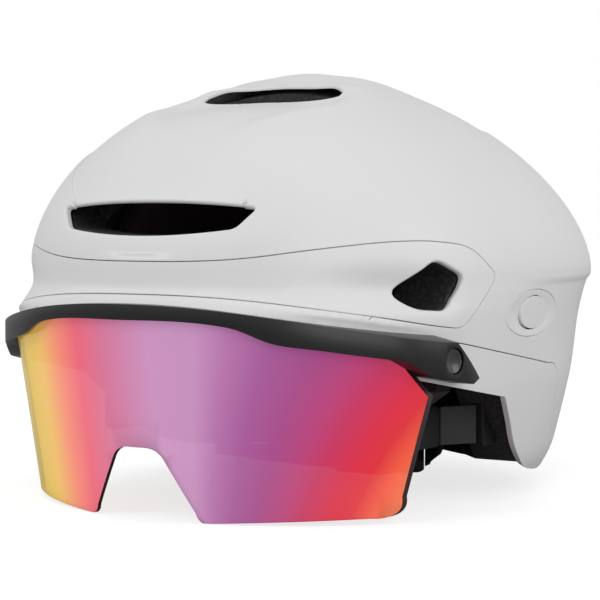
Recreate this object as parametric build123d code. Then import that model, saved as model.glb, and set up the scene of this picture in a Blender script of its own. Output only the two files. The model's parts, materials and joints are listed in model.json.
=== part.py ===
from build123d import *
from dataclasses import dataclass
import math
import os

os.makedirs("parts", exist_ok=True)

# Frame, in millimetres: Z is zero where the helmet stands, +Y runs to the tail, +X to the
# wearer's left. Outlines are shares of the size that they follow, in the same directions.

# Outer surface of the helmet
shell_half_width = 104.2
shell_front = 119.6
shell_rear = 146.4
crown_axis_y = -7.9
widest_height = 91.0
crown_rise = 82.0
skirt_depth = 95.0
shell_length = shell_front + shell_rear
shell_height = widest_height + crown_rise

# Head cavity
head_half_width = 78.0
head_half_length = 98.0
head_axis_y = -16.0
head_widest_height = 85.0
head_rise = 59.0
head_depth = 89.0
crown_softness = 0.12

# Walls and clearances
shell_wall = 3.0
panel_gap = 0.3
fit_gap = 0.3
moving_gap = 0.5
edge_lift = 2.6
overrun = 20.0
section_points = 16
crown_sections = 7
found_to = 1e-9

# Vents
slot_half_width = 45.2
slot_height = 118.8
slot_end_y = -95.0
crown_slot_half_width = 33.4
crown_slot_y = -37.0
crown_slot_length = 15.0
rear_port_half_width = 46.0
rear_port_low = 62.0
rear_port_high = 84.0
rear_port_y = 60.0
rear_fin = 2.0
rear_window_count = 6
rear_insert_inset = 1.0
rear_insert_depth = 9.0
channel_width = 12.0
channel_pitch = 34.0
channel_depth = 7.0
channel_floor = 96.0
vent_corner = 3.0

# Oval caps on the sides
cap_y = -6.5
cap_z = 75.2
cap_half_length = 12.3
cap_half_height = 6.7

# Shield: a conical lens in a curved frame
lens_axis_y = -18.6
lens_foot_radius = 105.6
lens_slope = 0.1486
lens_wall = 2.0
frame_axis_y = -18.2
frame_radius = 120.4
frame_side_radius = 55.0
frame_turn = 50.5
frame_top = 81.0
frame_wall = 3.0
frame_ledge = 2.6
block_end_y = -54.0
cover_radius = 4.6
cover_wall = 1.2
cover_recess = 0.8
cover_y = -72.0
cover_z = 60.0
magnet_radius = 4.0
magnet_wall = 2.5
side_magnet_y = -72.0
side_magnet_z = 60.0

# Fit system
cradle_radius = 54.2
cradle_axis_y = -21.2
cradle_wall = 2.2
cradle_half_width = 50.0
cradle_height = 46.0
arm_reach = 75.0
arm_height = 60.0
arm_wall = 2.2
housing_half_width = 15.0
housing_height = 26.0
housing_depth = 9.0
housing_corner = 5.0
dial_radius = 10.5
dial_thickness = 6.0
dial_shaft_radius = 3.0
dial_shaft_gap = 0.05
dial_grips = 18
dial_grip_radius = 0.9
lace_radius = 0.7
lace_route = ((15.6, 36.5, 14.0), (44.0, 19.0, 20.0), (61.1, -2.9, 23.5))
lace_bend = 70.0
stem_width = 14.0
stem_wall = 2.0
stem_y = 70.0
stem_high = 100.0
stem_front_y = 30.0
stem_bend = 12.0
guide_width = 24.0
guide_height = 16.0
guide_low = 80.0
guide_back_y = 79.7
guide_lip = 2.0
anchor_plate = (75.9, -31.0, 57.0)
anchor_plate_wall = 3.6
anchor_plate_length = 30.0
anchor_plate_height = 18.0

# Pads
pad_wall = 6.0
brow_pad_low = 84.0
brow_pad_high = 106.0
brow_pad_half_width = 56.0
brow_pad_back = -60.0
crown_pad_width = 16.0
crown_pad_offset = 17.0
crown_pad_front = -22.0
crown_pad_back = 60.0
side_pad_low = 92.0
side_pad_high = 122.0
side_pad_front = -52.0
side_pad_back = 26.0
nape_pad_low = 24.5
nape_pad_high = 40.0
nape_pad_inner = 8.0
nape_pad_outer = 36.0
nape_pad_wall = 4.0

# Straps and buckle
strap_width = 15.0
strap_wall = 1.4
front_anchor = (84.0, -46.0, 50.0)
rear_anchor = (84.0, -11.0, 31.0)
front_strap_ends = ((83.4, -46.0, 46.2), (74.4, -46.0, 39.9))
rear_strap_ends = ((83.4, -17.6, 31.0), (75.0, -31.4, 31.0))
anchor_length = 17.0
anchor_wall = 5.0
anchor_height = 6.0
anchor_depth = 12.0
divider_centre = (73.0, -42.0, 31.0)
divider_length = 20.0
divider_height = 16.0
divider_wall = 5.0
chin_strap_points = ((70.2, 30.0), (58.0, 29.0), (38.0, 58.0), (20.8, 58.0))
chin_strap_bends = (9.0, 14.0)
buckle_length = 20.5
buckle_width = 21.0
buckle_height = 8.0
prong_length = 13.0
prong_height = 4.0
prong_width = 14.0
keeper_length = 5.0
keeper_wall = 1.6
keeper_x = 27.0
buckle_z = 58.0

# Skirt profiles: share of the depth below the widest level, share of the plan radius
front_skirt_shares = (
    (0, 1), (0.053, 1.005), (0.1, 1.03), (0.144, 1.06), (0.263, 1.065), (0.526, 1.06), (1, 1.06),
)
side_skirt_shares = (
    (0, 1), (0.084, 1), (0.19, 0.99), (0.316, 0.975), (0.474, 0.955), (0.684, 0.915),
    (0.82, 0.88), (1, 0.78),
)
rear_skirt_shares = (
    (0, 1), (0.042, 0.995), (0.105, 0.965), (0.19, 0.94), (0.316, 0.92), (0.474, 0.885),
    (0.684, 0.845), (0.82, 0.81), (1, 0.72),
)
head_front_shares = ((0, 1), (0.5, 1), (1, 1))
head_side_shares = ((0, 1), (0.35, 0.99), (0.65, 0.95), (1, 0.86))
head_rear_shares = ((0, 1), (0.3, 0.98), (0.6, 0.9), (1, 0.74))
skirt_level_shares = (0.82, 0.684, 0.474, 0.316, 0.19, 0.144, 0.1, 0.053, 0)
head_level_shares = (0.75, 0.5, 0.25, 0)
# Roundness of the plan and of the crown's arch, towards the front, the sides and the tail
plan_powers = (2.4, 2.28, 2.17)
crown_powers = (2.1, 1.65, 1.68)
head_plan_powers = (2.1, 2.1, 2.1)
head_crown_powers = (2.4, 2.4, 2.4)

# Side outlines: share of the shell's length from the frame's origin, share of its height
brow_top_shares = (
    (-0.564, 0.549), (-0.476, 0.559), (-0.415, 0.582), (-0.367, 0.594), (-0.305, 0.602),
    (-0.242, 0.6), (-0.186, 0.584), (-0.154, 0.546),
)
brow_tip_shares = ((-0.154, 0.546), (-0.141, 0.523), (-0.146, 0.503))
brow_rear_shares = ((-0.146, 0.503), (-0.194, 0.434))
brow_corner_shares = ((-0.194, 0.434), (-0.209, 0.416), (-0.229, 0.412))
brow_low_shares = (
    (-0.229, 0.412), (-0.27, 0.42), (-0.338, 0.438), (-0.426, 0.464), (-0.485, 0.487),
    (-0.564, 0.509),
)
brow_front_shares = ((-0.564, 0.509), (-0.564, 0.549))
rim_front_shares = ((-0.564, 0.448), (-0.489, 0.448), (-0.425, 0.428), (-0.342, 0.406))
rim_side_shares = ((-0.342, 0.406), (-0.252, 0.389), (-0.114, 0.353), (0.062, 0.311))
seam_corner_shares = ((0.062, 0.311), (0.09, 0.302), (0.105, 0.277))
seam_rear_shares = ((0.105, 0.277), (0.12, 0.216), (0.143, 0.139), (0.169, 0))
seam_close_shares = ((0.169, 0), (-0.414, 0), (-0.414, 0.406), (-0.342, 0.406))
panel_tip_shares = ((-0.342, 0.406), (-0.353, 0.382), (-0.338, 0.363))
panel_front_shares = ((-0.338, 0.363), (-0.289, 0.305))
panel_edge_shares = ((-0.289, 0.305), (-0.202, 0.279), (-0.082, 0.247))
ear_shares = (
    (-0.082, 0.247), (-0.053, 0.191), (-0.019, 0.127), (0.03, 0.075), (0.105, 0.049),
    (0.173, 0.043),
)
nape_shares = (
    (0.173, 0.043), (0.226, 0.044), (0.282, 0.066), (0.35, 0.127), (0.421, 0.194),
    (0.602, 0.22),
)
over_shares = ((0.602, 0.22), (0.602, 1.2), (-0.564, 1.2), (-0.564, 0.448))
side_vent_shares = (
    (-0.321, 0.491), (-0.256, 0.563), (-0.205, 0.523), (-0.241, 0.451), (-0.295, 0.458),
)
# Crown slot: share of its half width, share of its length
slot_rear_shares = ((1, 0), (0.66, 0.4), (0, 0.55), (-0.66, 0.4), (-1, 0))
slot_front_shares = ((-1, 0), (-0.78, -0.38), (0, -0.3), (0.78, -0.38), (1, 0))
# Shield outlines in front view: share of the frame's radius, share of the frame's top
frame_top_shares = ((0, 1), (0.28, 0.983), (0.556, 0.926), (0.773, 0.86), (0.93, 0.8))
frame_low_shares = (
    (0.96, 0.72), (0.756, 0.76), (0.57, 0.81), (0.47, 0.838), (0.38, 0.895), (0.34, 0.908),
    (0, 0.928),
)
lens_top_shares = ((0, 0.955), (0.28, 0.937), (0.556, 0.88), (0.72, 0.835))
lens_edge_shares = (
    ((0.72, 0.835), (0.745, 0.765)), ((0.745, 0.765), (0.796, 0.58)), ((0.796, 0.58), (0.722, 0.12)),
    ((0.722, 0.12), (0.706, 0.045), (0.65, 0.026)), ((0.65, 0.026), (0.488, 0.018), (0.24, 0)),
    ((0.24, 0), (0.206, 0.005), (0.19, 0.045)), ((0.19, 0.045), (0.1, 0.28)),
)
lens_notch_shares = ((0, 0.336), (0.055, 0.333), (0.1, 0.28))
# Rear block in side view: share of the shell's length, share of its height
block_shares = (
    (-0.4, 0.406), (-0.352, 0.358), (-0.312, 0.318), (-0.226, 0.294), (-0.208, 0.305),
    (-0.263, 0.383),
)
frame_side_shares = (
    (-0.6, 0.2), (-0.6, 0.6), (-0.35, 0.6), (-0.263, 0.383), (-0.208, 0.305), (-0.19, 0.2),
)
slot_shares = ((1, 0.981), (0, 1), (-1, 0.981), (-0.86, 0.916), (0, 0.893), (0.86, 0.916))
# Cradle in front view: share of its half width, share of its height
cradle_shares = (
    (0, 0.05), (0.5, 0.06), (0.8, 0.12), (1, 0.2), (1, 0.42), (0.86, 0.5), (0.6, 0.7),
    (0.28, 0.86), (0.28, 1), (0, 1),
)
cradle_window_shares = (
    ((0.24, 0.64), (0.5, 0.62), (0.36, 0.4)),
    ((0.5, 0.34), (0.6, 0.58), (0.68, 0.5), (0.6, 0.3)),
    ((0.74, 0.26), (0.78, 0.44), (0.92, 0.36), (0.9, 0.28)),
)
# Arms: plan path in shares of their reach, then front outline in shares of reach and height
arm_plan_shares = (
    (0.6, 0.165), (0.667, 0.062), (0.773, -0.04), (0.88, -0.133), (0.95, -0.253), (0.965, -0.42),
)
arm_front_shares = (
    (0.57, 0.13), (0.8, 0.27), (0.93, 0.48), (0.94, 0.74), (1.02, 0.74), (1.02, 1), (0.92, 1),
    (0.92, 0.7), (0.86, 0.5), (0.74, 0.35), (0.57, 0.26),
)


@dataclass
class Dome:
    """A closed dome about a vertical axis: an arched crown over a skirt."""

    half_width: float
    front: float
    rear: float
    axis_y: float
    widest: float
    rise: float
    depth: float
    plan_powers: tuple
    crown_powers: tuple
    skirt_shares: tuple
    levels: tuple

    def radius(self, angle, level, inset):
        """Distance from the axis to the surface, at an angle from the front and a level."""
        to_front = max(math.cos(angle), 0) ** 2
        to_rear = max(-math.cos(angle), 0) ** 2
        weights = (to_front, 1 - to_front - to_rear, to_rear)
        power = mixed(weights, self.plan_powers)
        width = self.half_width - inset
        length = (self.front if math.cos(angle) > 0 else self.rear) - inset
        if level <= self.widest:
            drop = (self.widest - level) / self.depth
            out = mixed(weights, [through(shares, drop) for shares in self.skirt_shares])
        else:
            share = (level - self.widest) / (self.rise - inset)
            out = found(lambda o: share - mixed(weights, [arch(o, p) for p in self.crown_powers]))
        across, along = abs(math.sin(angle) / width), abs(math.cos(angle) / length)
        return out * (across**power + along**power) ** (-1 / power)

    def section(self, level, inset):
        """Closed level curve of the surface, moved inwards by the inset."""
        turns = [2 * math.pi * k / section_points for k in range(section_points)]
        reach = [self.radius(turn, level, inset) for turn in turns]
        spots = [
            (r * math.sin(turn), self.axis_y - r * math.cos(turn), level)
            for r, turn in zip(reach, turns)
        ]
        across = Vector(1, 0, 0)
        closed = Spline(*spots, spots[0], tangents=(across, across), tangent_scalars=(1, 1))
        return Wire(closed)

    def body(self, inset, sink=0):
        """Closed solid inside the surface, its foot sunk below the skirt's end."""
        levels = [self.widest - self.depth - sink]
        levels += [self.widest - self.depth * share for share in self.levels]
        quarter = [math.pi / 2 * k / crown_sections for k in range(1, crown_sections)]
        levels += [self.widest + (self.rise - inset) * math.sin(turn) for turn in quarter]
        crown = Vertex(0, self.axis_y, self.widest + self.rise - inset)
        return Solid.make_loft([self.section(level, inset) for level in levels] + [crown])

    def place(self, y, z):
        """Plane that touches the surface on the left at a place along and up, facing out."""
        angle = found(lambda a: self.spot(a * math.pi, z).Y - y) * math.pi
        here = self.spot(angle, z)
        aside = self.spot(angle + crown_softness, z) - here
        above = self.spot(angle, z + fit_gap) - here
        return Plane(here, x_dir=aside, z_dir=aside.cross(above))

    def spot(self, angle, level):
        """Point of the surface at an angle from the front and a level."""
        r = self.radius(angle, level, 0)
        return Vector(r * math.sin(angle), self.axis_y - r * math.cos(angle), level)


def found(signed):
    """Share from 0 to 1 where a rising function of it turns positive."""
    low, high = 0.0, 1.0
    while high - low > found_to:
        middle = (low + high) / 2
        low, high = (low, middle) if signed(middle) > 0 else (middle, high)
    return (low + high) / 2


def mixed(weights, values):
    """Weighted sum of the front, side and rear values."""
    return sum(weight * value for weight, value in zip(weights, values))


def arch(out, power):
    """Height share of a rounded arch at a share of its half width, smooth at the crown."""
    soft = crown_softness**power
    full = (1 + crown_softness**2) ** (power / 2) - soft
    part = (out**2 + crown_softness**2) ** (power / 2) - soft
    return max(0, 1 - part / full) ** (1 / power)


def through(table, place):
    """Cubic curve through a table's points, with each slope taken from the neighbours."""
    last = len(table) - 1
    i = min(max(sum(place > row[0] for row in table) - 1, 0), last - 1)

    def slope(k):
        low, high = max(k - 1, 0), min(k + 1, last)
        return (table[high][1] - table[low][1]) / (table[high][0] - table[low][0])

    span = table[i + 1][0] - table[i][0]
    t = min((place - table[i][0]) / span, 1)
    value = table[i][1] * (1 + 2 * t) * (1 - t) ** 2 + table[i + 1][1] * t * t * (3 - 2 * t)
    return value + span * t * (1 - t) * (slope(i) * (1 - t) - slope(i + 1) * t)


outer = Dome(
    shell_half_width, shell_front, shell_rear, crown_axis_y, widest_height, crown_rise,
    skirt_depth, plan_powers, crown_powers,
    (front_skirt_shares, side_skirt_shares, rear_skirt_shares), skirt_level_shares,
)
head = Dome(
    head_half_width, head_half_length, head_half_length, head_axis_y, head_widest_height,
    head_rise, head_depth, head_plan_powers, head_crown_powers,
    (head_front_shares, head_side_shares, head_rear_shares), head_level_shares,
)


def run(points):
    """An edge through the points: straight for two, a spline for more."""
    return Line(*points) if len(points) == 2 else Spline(*points)


def legs(table):
    """Tables of two points each, one for each straight leg of a table."""
    return list(zip(table, table[1:]))


def flip(table):
    """The same points on the other side of the middle, in the opposite order."""
    return [(-across, up) for across, up in reversed(table)]


def drawn_in(loop, gap):
    """Closed outline with each point moved inwards, by the gap from both of its sides."""
    before, after = loop[-1:] + loop[:-1], loop[1:] + loop[:1]
    turn = math.copysign(1, sum(a[0] * b[1] - b[0] * a[1] for a, b in zip(loop, after)))
    moved = []
    for last, here, following in zip(before, loop, after):
        sides = []
        for a, b in ((last, here), (here, following)):
            length = math.dist(a, b)
            sides.append(((a[1] - b[1]) / length, (b[0] - a[0]) / length))
        way = [one + two for one, two in zip(*sides)]
        shift = 2 * turn * gap / (way[0] ** 2 + way[1] ** 2)
        moved.append((here[0] + way[0] * shift, here[1] + way[1] * shift))
    return moved


def outlined(tables, width, height, lift=0, gap=0):
    """Face bounded by one edge for each table of shares, raised by a lift and drawn in."""
    loop = [(x * width, z * height + lift) for table in tables for x, z in table[:-1]]
    loop = drawn_in(loop, gap)
    edges, start = [], 0
    for table in tables:
        end = start + len(table) - 1
        edges.append(run([loop[k % len(loop)] for k in range(start, end + 1)]))
        start = end
    return make_face(edges)


def side_face(*tables, lift=0, gap=0):
    """Face in the side view, bounded by one edge for each table of shares."""
    return outlined(tables, shell_length, shell_height, lift, gap)


def side_prism(face, low=-shell_half_width - overrun, high=shell_half_width + overrun):
    """Solid with the face as its side view, between two places across."""
    return extrude(Plane.YZ.offset(low) * face, high - low)


def front_prism(face, low, high):
    """Solid with the face as its front view, between two places along."""
    return extrude(Plane.XZ.offset(-high) * face, high - low)


def mirrored(solid):
    """The same form on the wearer's right."""
    return mirror(solid, Plane.YZ)


def side_polygon(shares):
    """Straight-sided face in the side view."""
    return make_face(
        Polyline(*[(along * shell_length, up * shell_height) for along, up in shares], close=True)
    )


def front_polygon(shares, width, height):
    """Straight-sided face in the front view, from an outline that closes by itself."""
    return make_face(Polyline(*[(x * width, z * height) for x, z in shares], close=True))


def span(shares, width, height, drop=0):
    """Smooth edge right across the front view, from shares of its left half."""
    left = [(x * width, z * height - drop) for x, z in shares]
    right = [(-x, z) for x, z in left[:0:-1]]
    return Spline(*right, *left)


def ring_sector(radius, wall, axis_y, low, high):
    """Upright ring, outer radius and wall, about an axis behind the brow."""
    ring = Circle(radius) - Circle(radius - wall)
    return Pos(0, axis_y, low) * extrude(ring, high - low)


def block(low, high):
    """Box from its low corner to its high corner."""
    size = [b - a for a, b in zip(low, high)]
    middle = [(a + b) / 2 for a, b in zip(low, high)]
    return Pos(*middle) * Box(*size)


def ribbon(start, end, width, wall):
    """Flat strap between two points, its width upright or along."""
    path = Vector(*end) - Vector(*start)
    middle = (Vector(*start) + Vector(*end)) / 2
    flat = Vector(0, 0, 1) if abs(path.Z) < abs(path.Y) else Vector(0, 1, 0)
    face_up = path.cross(flat)
    return Plane(middle, x_dir=path, z_dir=face_up) * Box(path.length, width, wall)


def keep(name, shape):
    """Write one node and print what it holds."""
    export_step(shape, f"parts/{name}.step")
    print(name, len(shape.solids()), round(shape.volume))


def keep_pair(name, shape):
    """Write a node for the wearer's left and its mirror image for the right."""
    keep(f"{name}_left", shape)
    keep(f"{name}_right", mirrored(shape))


# Regions in the side view
body_tables = (
    rim_front_shares, panel_tip_shares, panel_front_shares, panel_edge_shares, ear_shares,
    nape_shares, *legs(over_shares),
)
brow_tables = (
    brow_top_shares, brow_tip_shares, brow_rear_shares, brow_corner_shares, brow_low_shares,
    brow_front_shares,
)
lower_tables = (rim_side_shares, seam_corner_shares, seam_rear_shares, *legs(seam_close_shares))
body_face = side_face(*body_tables)
liner_face = side_face(*body_tables, lift=edge_lift)
side_vent_face = fillet(side_polygon(side_vent_shares).vertices(), vent_corner)


# Shared bodies
reach_x = shell_half_width + overrun
reach_y = shell_length
outer_body = outer.body(0)
inner_body = outer.body(shell_wall, panel_gap)
clear_body = outer.body(-moving_gap)
shell_skin = (outer_body - inner_body) & side_prism(body_face)
cradle_front_y = cradle_axis_y + cradle_radius
side_magnet_plane = outer.place(side_magnet_y, side_magnet_z)


def magnet(start, grow=0):
    """Disc magnet on the side magnet's line, from a height over the outer surface."""
    disc = Cylinder(magnet_radius + grow, magnet_wall + 2 * grow)
    return side_magnet_plane * Pos(0, 0, start + magnet_wall / 2) * disc


shell_magnet_start = -shell_wall - fit_gap - magnet_wall
frame_magnet_start = moving_gap + fit_gap


def slot_face():
    """Front view of the brow slot."""
    top, bottom = slot_shares[:3], slot_shares[3:]
    edges = [
        Spline(*[(x * slot_half_width, z * slot_height) for x, z in part]) for part in (top, bottom)
    ]
    ends = (Line(edges[0] @ 1, edges[1] @ 0), Line(edges[1] @ 1, edges[0] @ 0))
    return make_face([*edges, *ends])


def crown_slot_face():
    """Plan view of the crown slot."""
    edges = [
        Spline(
            *[
                (x * crown_slot_half_width, crown_slot_y + y * crown_slot_length)
                for x, y in part
            ]
        )
        for part in (slot_rear_shares, slot_front_shares)
    ]
    return make_face(edges)


def cap_face(grow):
    """Side view of the oval cap."""
    oval = Ellipse(cap_half_length + grow, cap_half_height + grow)
    return Pos(cap_y, cap_z) * oval


def vent_cutters():
    """Solids that open the slots and the rear port through shell and liner."""
    brow = front_prism(slot_face(), -reach_y, slot_end_y)
    crown = Pos(0, 0, head_widest_height) * extrude(crown_slot_face(), shell_height)
    port = block(
        (-rear_port_half_width, rear_port_y, rear_port_low),
        (rear_port_half_width, reach_y, rear_port_high),
    )
    return [brow, crown, port]


def make_shell():
    """Crown shell, brow panel, lower panels and side caps."""
    lower_cut = side_prism(side_face(*lower_tables))
    caps = side_prism(cap_face(0))
    brow_cut = side_prism(side_face(*brow_tables))
    crown = shell_skin - [brow_cut, lower_cut, caps, *vent_cutters()]
    keep("crown_shell", crown)
    brow = shell_skin & side_prism(side_face(*brow_tables, gap=panel_gap))
    keep("brow_panel", brow - side_prism(side_vent_face))
    lower = side_prism(side_face(*lower_tables, gap=panel_gap), 0)
    keep_pair("lower_panel", shell_skin & lower)
    keep_pair("side_cap", shell_skin & side_prism(cap_face(-panel_gap), 0))


def make_rear_insert():
    """Finned insert in the rear port, under the tail's edge."""
    inner = outer.body(rear_insert_inset + rear_insert_depth, panel_gap)
    band = outer.body(rear_insert_inset) - inner
    half = rear_port_half_width - fit_gap
    low, high = rear_port_low + fit_gap, rear_port_high - fit_gap
    solid = band & block((-half, rear_port_y, low), (half, reach_y, high))
    pitch = (2 * half - rear_fin) / rear_window_count
    for k in range(rear_window_count):
        left = -half + rear_fin + k * pitch
        window = block(
            (left, rear_port_y, low + rear_fin), (left + pitch - rear_fin, reach_y, high - rear_fin)
        )
        solid -= window
    keep("rear_vent_insert", solid)


def strap_anchor(centre, upright, grow=0):
    """Anchor block of one strap in the liner's edge."""
    length, height = (anchor_depth, anchor_length) if upright else (anchor_length, anchor_height)
    return Pos(*centre) * Box(anchor_wall + grow, length + grow, height + grow)


def temple_plate(grow=0):
    """Plate in the liner that the left arm slides along."""
    return Pos(*anchor_plate) * Box(
        anchor_plate_wall + grow, anchor_plate_length + grow, anchor_plate_height + grow
    )


def make_liner():
    """Foam liner with the head cavity, air channels and pockets."""
    liner = outer.body(shell_wall + fit_gap) & side_prism(liner_face)
    cutters = [head.body(0, overrun), *vent_cutters(), side_prism(side_vent_face)]
    tall = head.body(-channel_depth, overrun)
    for k in (-1, 0, 1):
        slab = block(
            (k * channel_pitch - channel_width / 2, -reach_y, channel_floor),
            (k * channel_pitch + channel_width / 2, reach_y, shell_height),
        )
        cutters.append(tall & slab)
    for piece in (
        magnet(shell_magnet_start, fit_gap),
        temple_plate(2 * fit_gap),
        strap_anchor(front_anchor, False, 2 * fit_gap),
        strap_anchor(rear_anchor, True, 2 * fit_gap),
    ):
        cutters += [piece, mirrored(piece)]
    keep("eps_liner", liner - cutters)
    magnets = magnet(shell_magnet_start)
    keep("shell_magnets", Compound([magnets, mirrored(magnets)]))


def make_pads():
    """Comfort pads against the cavity's wall."""
    inner = head.body(fit_gap + pad_wall, overrun + fit_gap)
    layer = head.body(fit_gap, overrun) - inner
    brow = block(
        (-brow_pad_half_width, -reach_y, brow_pad_low),
        (brow_pad_half_width, brow_pad_back, brow_pad_high),
    )
    keep("brow_pad", layer & brow)
    inner_x = crown_pad_offset - crown_pad_width / 2
    strip = block(
        (inner_x, crown_pad_front, head_widest_height),
        (inner_x + crown_pad_width, crown_pad_back, shell_height),
    )
    keep_pair("crown_pad", layer & strip)
    side = block((0, side_pad_front, side_pad_low), (reach_x, side_pad_back, side_pad_high))
    keep_pair("side_pad", layer & side)


def frame_outline():
    """Plan view of the frame's outside: a wide front arc and two tighter side arcs."""
    turn = math.radians(frame_turn)
    rest = frame_radius - frame_side_radius
    centre = (rest * math.sin(turn), frame_axis_y - rest * math.cos(turn))
    last = math.acos((centre[1] - block_end_y) / frame_side_radius)

    def side_spot(a):
        return (
            centre[0] + frame_side_radius * math.sin(a), centre[1] - frame_side_radius * math.cos(a)
        )

    start, middle, end = [side_spot(a) for a in (turn, (turn + last) / 2, last)]
    flip = [(-x, y) for x, y in (start, middle, end)]
    nose = (0, frame_axis_y - frame_radius)
    return make_face(
        [
            ThreePointArc(flip[0], nose, start),
            ThreePointArc(start, middle, end),
            Line(end, flip[2]),
            ThreePointArc(flip[2], flip[1], flip[0]),
        ]
    )


def cover_plane():
    """Plane on the left end block's outside, facing out."""
    turn = math.radians(frame_turn)
    rest = frame_radius - frame_side_radius
    centre = Vector(rest * math.sin(turn), frame_axis_y - rest * math.cos(turn), cover_z)
    aside = math.sqrt(frame_side_radius**2 - (cover_y - centre.Y) ** 2)
    here = Vector(centre.X + aside, cover_y, cover_z)
    return Plane(here, z_dir=here - centre)


def make_frame():
    """Shield frame: a curved band with a top ledge and an end block on each side."""
    plan = frame_outline()
    solid = extrude(plan, frame_top)
    band_face = make_face(
        [
            span(frame_top_shares, frame_radius, frame_top),
            span(frame_low_shares[::-1], frame_radius, frame_top),
            *[
                Line(
                    (side * frame_top_shares[-1][0] * frame_radius, frame_top_shares[-1][1] * frame_top),
                    (side * frame_low_shares[0][0] * frame_radius, frame_low_shares[0][1] * frame_top),
                )
                for side in (-1, 1)
            ],
        ]
    )
    ledge_top = span(frame_top_shares, frame_radius, frame_top)
    ledge_low = span(frame_top_shares, frame_radius, frame_top, frame_ledge)
    ledge_face = make_face(
        [ledge_top, ledge_low, Line(ledge_top @ 0, ledge_low @ 0), Line(ledge_top @ 1, ledge_low @ 1)]
    )
    hollow = extrude(offset(plan, -frame_wall), frame_top)
    hollow += block((-reach_x, block_end_y - frame_wall, 0), (reach_x, 0, frame_top)) & solid
    band = ((solid - hollow) & front_prism(band_face, -reach_y, 0)) - clear_body
    ledge = (solid & front_prism(ledge_face, -reach_y, 0)) - clear_body
    blocks = (solid & side_prism(side_polygon(block_shares))) - clear_body
    frame = (band + ledge + blocks) & side_prism(side_polygon(frame_side_shares))
    frame -= lens_body(fit_gap)
    recess_depth = cover_recess + cover_wall
    for piece in (
        magnet(frame_magnet_start, fit_gap / 2),
        cover_plane()
        * Pos(0, 0, -recess_depth)
        * Cylinder(
            cover_radius + fit_gap, overrun, align=(Align.CENTER, Align.CENTER, Align.MIN)
        ),
    ):
        frame -= [piece, mirrored(piece)]
    keep("shield_frame", frame)
    magnets = magnet(frame_magnet_start)
    keep("frame_magnets", Compound([magnets, mirrored(magnets)]))
    cover = cover_plane() * Pos(0, 0, cover_wall / 2 - recess_depth) * Cylinder(cover_radius, cover_wall)
    keep_pair("frame_cover", cover)


def lens_body(grow=0):
    """Conical lens with a notch for the nose, or the room that it needs."""
    foot, top = -grow, lens_top_shares[0][1] * frame_top + grow
    radii = [lens_foot_radius + lens_slope * z + grow for z in (foot, top)]
    low_centre = (Align.CENTER, Align.CENTER, Align.MIN)
    outside = Cone(*radii, top - foot, align=low_centre)
    wall = lens_wall + 2 * grow
    inside = Cone(*[radius - wall for radius in radii], top - foot, align=low_centre)
    top_table = [*flip(lens_top_shares)[:-1], *lens_top_shares]
    notch_table = [*reversed(lens_notch_shares), *flip(lens_notch_shares[::-1])[1:]]
    left_tables = [flip(table) for table in reversed(lens_edge_shares)]
    tables = [top_table, *lens_edge_shares, notch_table, *left_tables]
    face = outlined(tables, frame_radius, frame_top, gap=-grow)
    ring = Pos(0, lens_axis_y, foot) * (outside - inside)
    return ring & front_prism(face, -reach_y, lens_axis_y)


def make_cradle():
    """Nape cradle with its lattice, the two arms, their plates, pads and laces."""
    ring = ring_sector(cradle_radius, cradle_wall, cradle_axis_y, 0, cradle_height)
    outline = front_polygon([*cradle_shares, *flip(cradle_shares)[1:-1]], cradle_half_width, cradle_height)
    cradle = ring & front_prism(outline, cradle_axis_y, reach_y)
    for shares in cradle_window_shares:
        window = front_polygon(shares, cradle_half_width, cradle_height)
        cutter = front_prism(window, cradle_axis_y, reach_y)
        cradle -= [cutter, mirrored(cutter)]
    keep("nape_cradle", cradle)
    path = Spline(*[(x * arm_reach, y * arm_reach) for x, y in arm_plan_shares])
    wall = extrude(trace(path, arm_wall), arm_height)
    arm_face = front_polygon(arm_front_shares, arm_reach, arm_height)
    arm = wall & front_prism(arm_face, -reach_y, reach_y)
    keep_pair("fit_arm", arm)
    keep_pair("temple_plate", temple_plate())
    pad_radius = cradle_radius - cradle_wall - fit_gap
    pad_ring = ring_sector(pad_radius, nape_pad_wall, cradle_axis_y, nape_pad_low, nape_pad_high)
    room = block((nape_pad_inner, cradle_axis_y, 0), (nape_pad_outer, reach_y, cradle_height))
    keep_pair("nape_pad", pad_ring & room)
    route = FilletPolyline(*lace_route, radius=lace_bend)
    keep_pair("fit_lace", sweep(Plane(route @ 0, z_dir=route % 0) * Circle(lace_radius), route))


def make_dial():
    """Housing on the cradle and the dial that turns in it."""
    back = cradle_front_y + fit_gap + housing_depth
    body = block(
        (-housing_half_width, cradle_front_y - housing_depth / 2, 0),
        (housing_half_width, back, housing_height),
    )
    body = fillet(body.edges().filter_by(Axis.Y), housing_corner)
    body -= ring_sector(
        cradle_radius + fit_gap, cradle_radius, cradle_axis_y, -overrun, housing_height + overrun
    )
    middle = housing_height / 2
    shaft_length = housing_depth / 2
    facing = Plane((0, back, middle), z_dir=(0, 1, 0))
    inward = (Align.CENTER, Align.CENTER, Align.MAX)
    outward = (Align.CENTER, Align.CENTER, Align.MIN)
    bore = Cylinder(dial_shaft_radius + dial_shaft_gap, shaft_length + fit_gap, align=inward)
    keep("dial_housing", body - facing * bore)
    knob = Pos(0, 0, fit_gap) * Cylinder(dial_radius, dial_thickness, align=outward)
    for k in range(dial_grips):
        turn = 2 * math.pi * k / dial_grips
        spot = Pos(dial_radius * math.cos(turn), dial_radius * math.sin(turn), fit_gap)
        knob -= spot * Cylinder(dial_grip_radius, dial_thickness, align=outward)
    shaft = Pos(0, 0, fit_gap) * Cylinder(dial_shaft_radius, shaft_length + fit_gap, align=inward)
    keep("fit_dial", facing * (knob + shaft))


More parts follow.
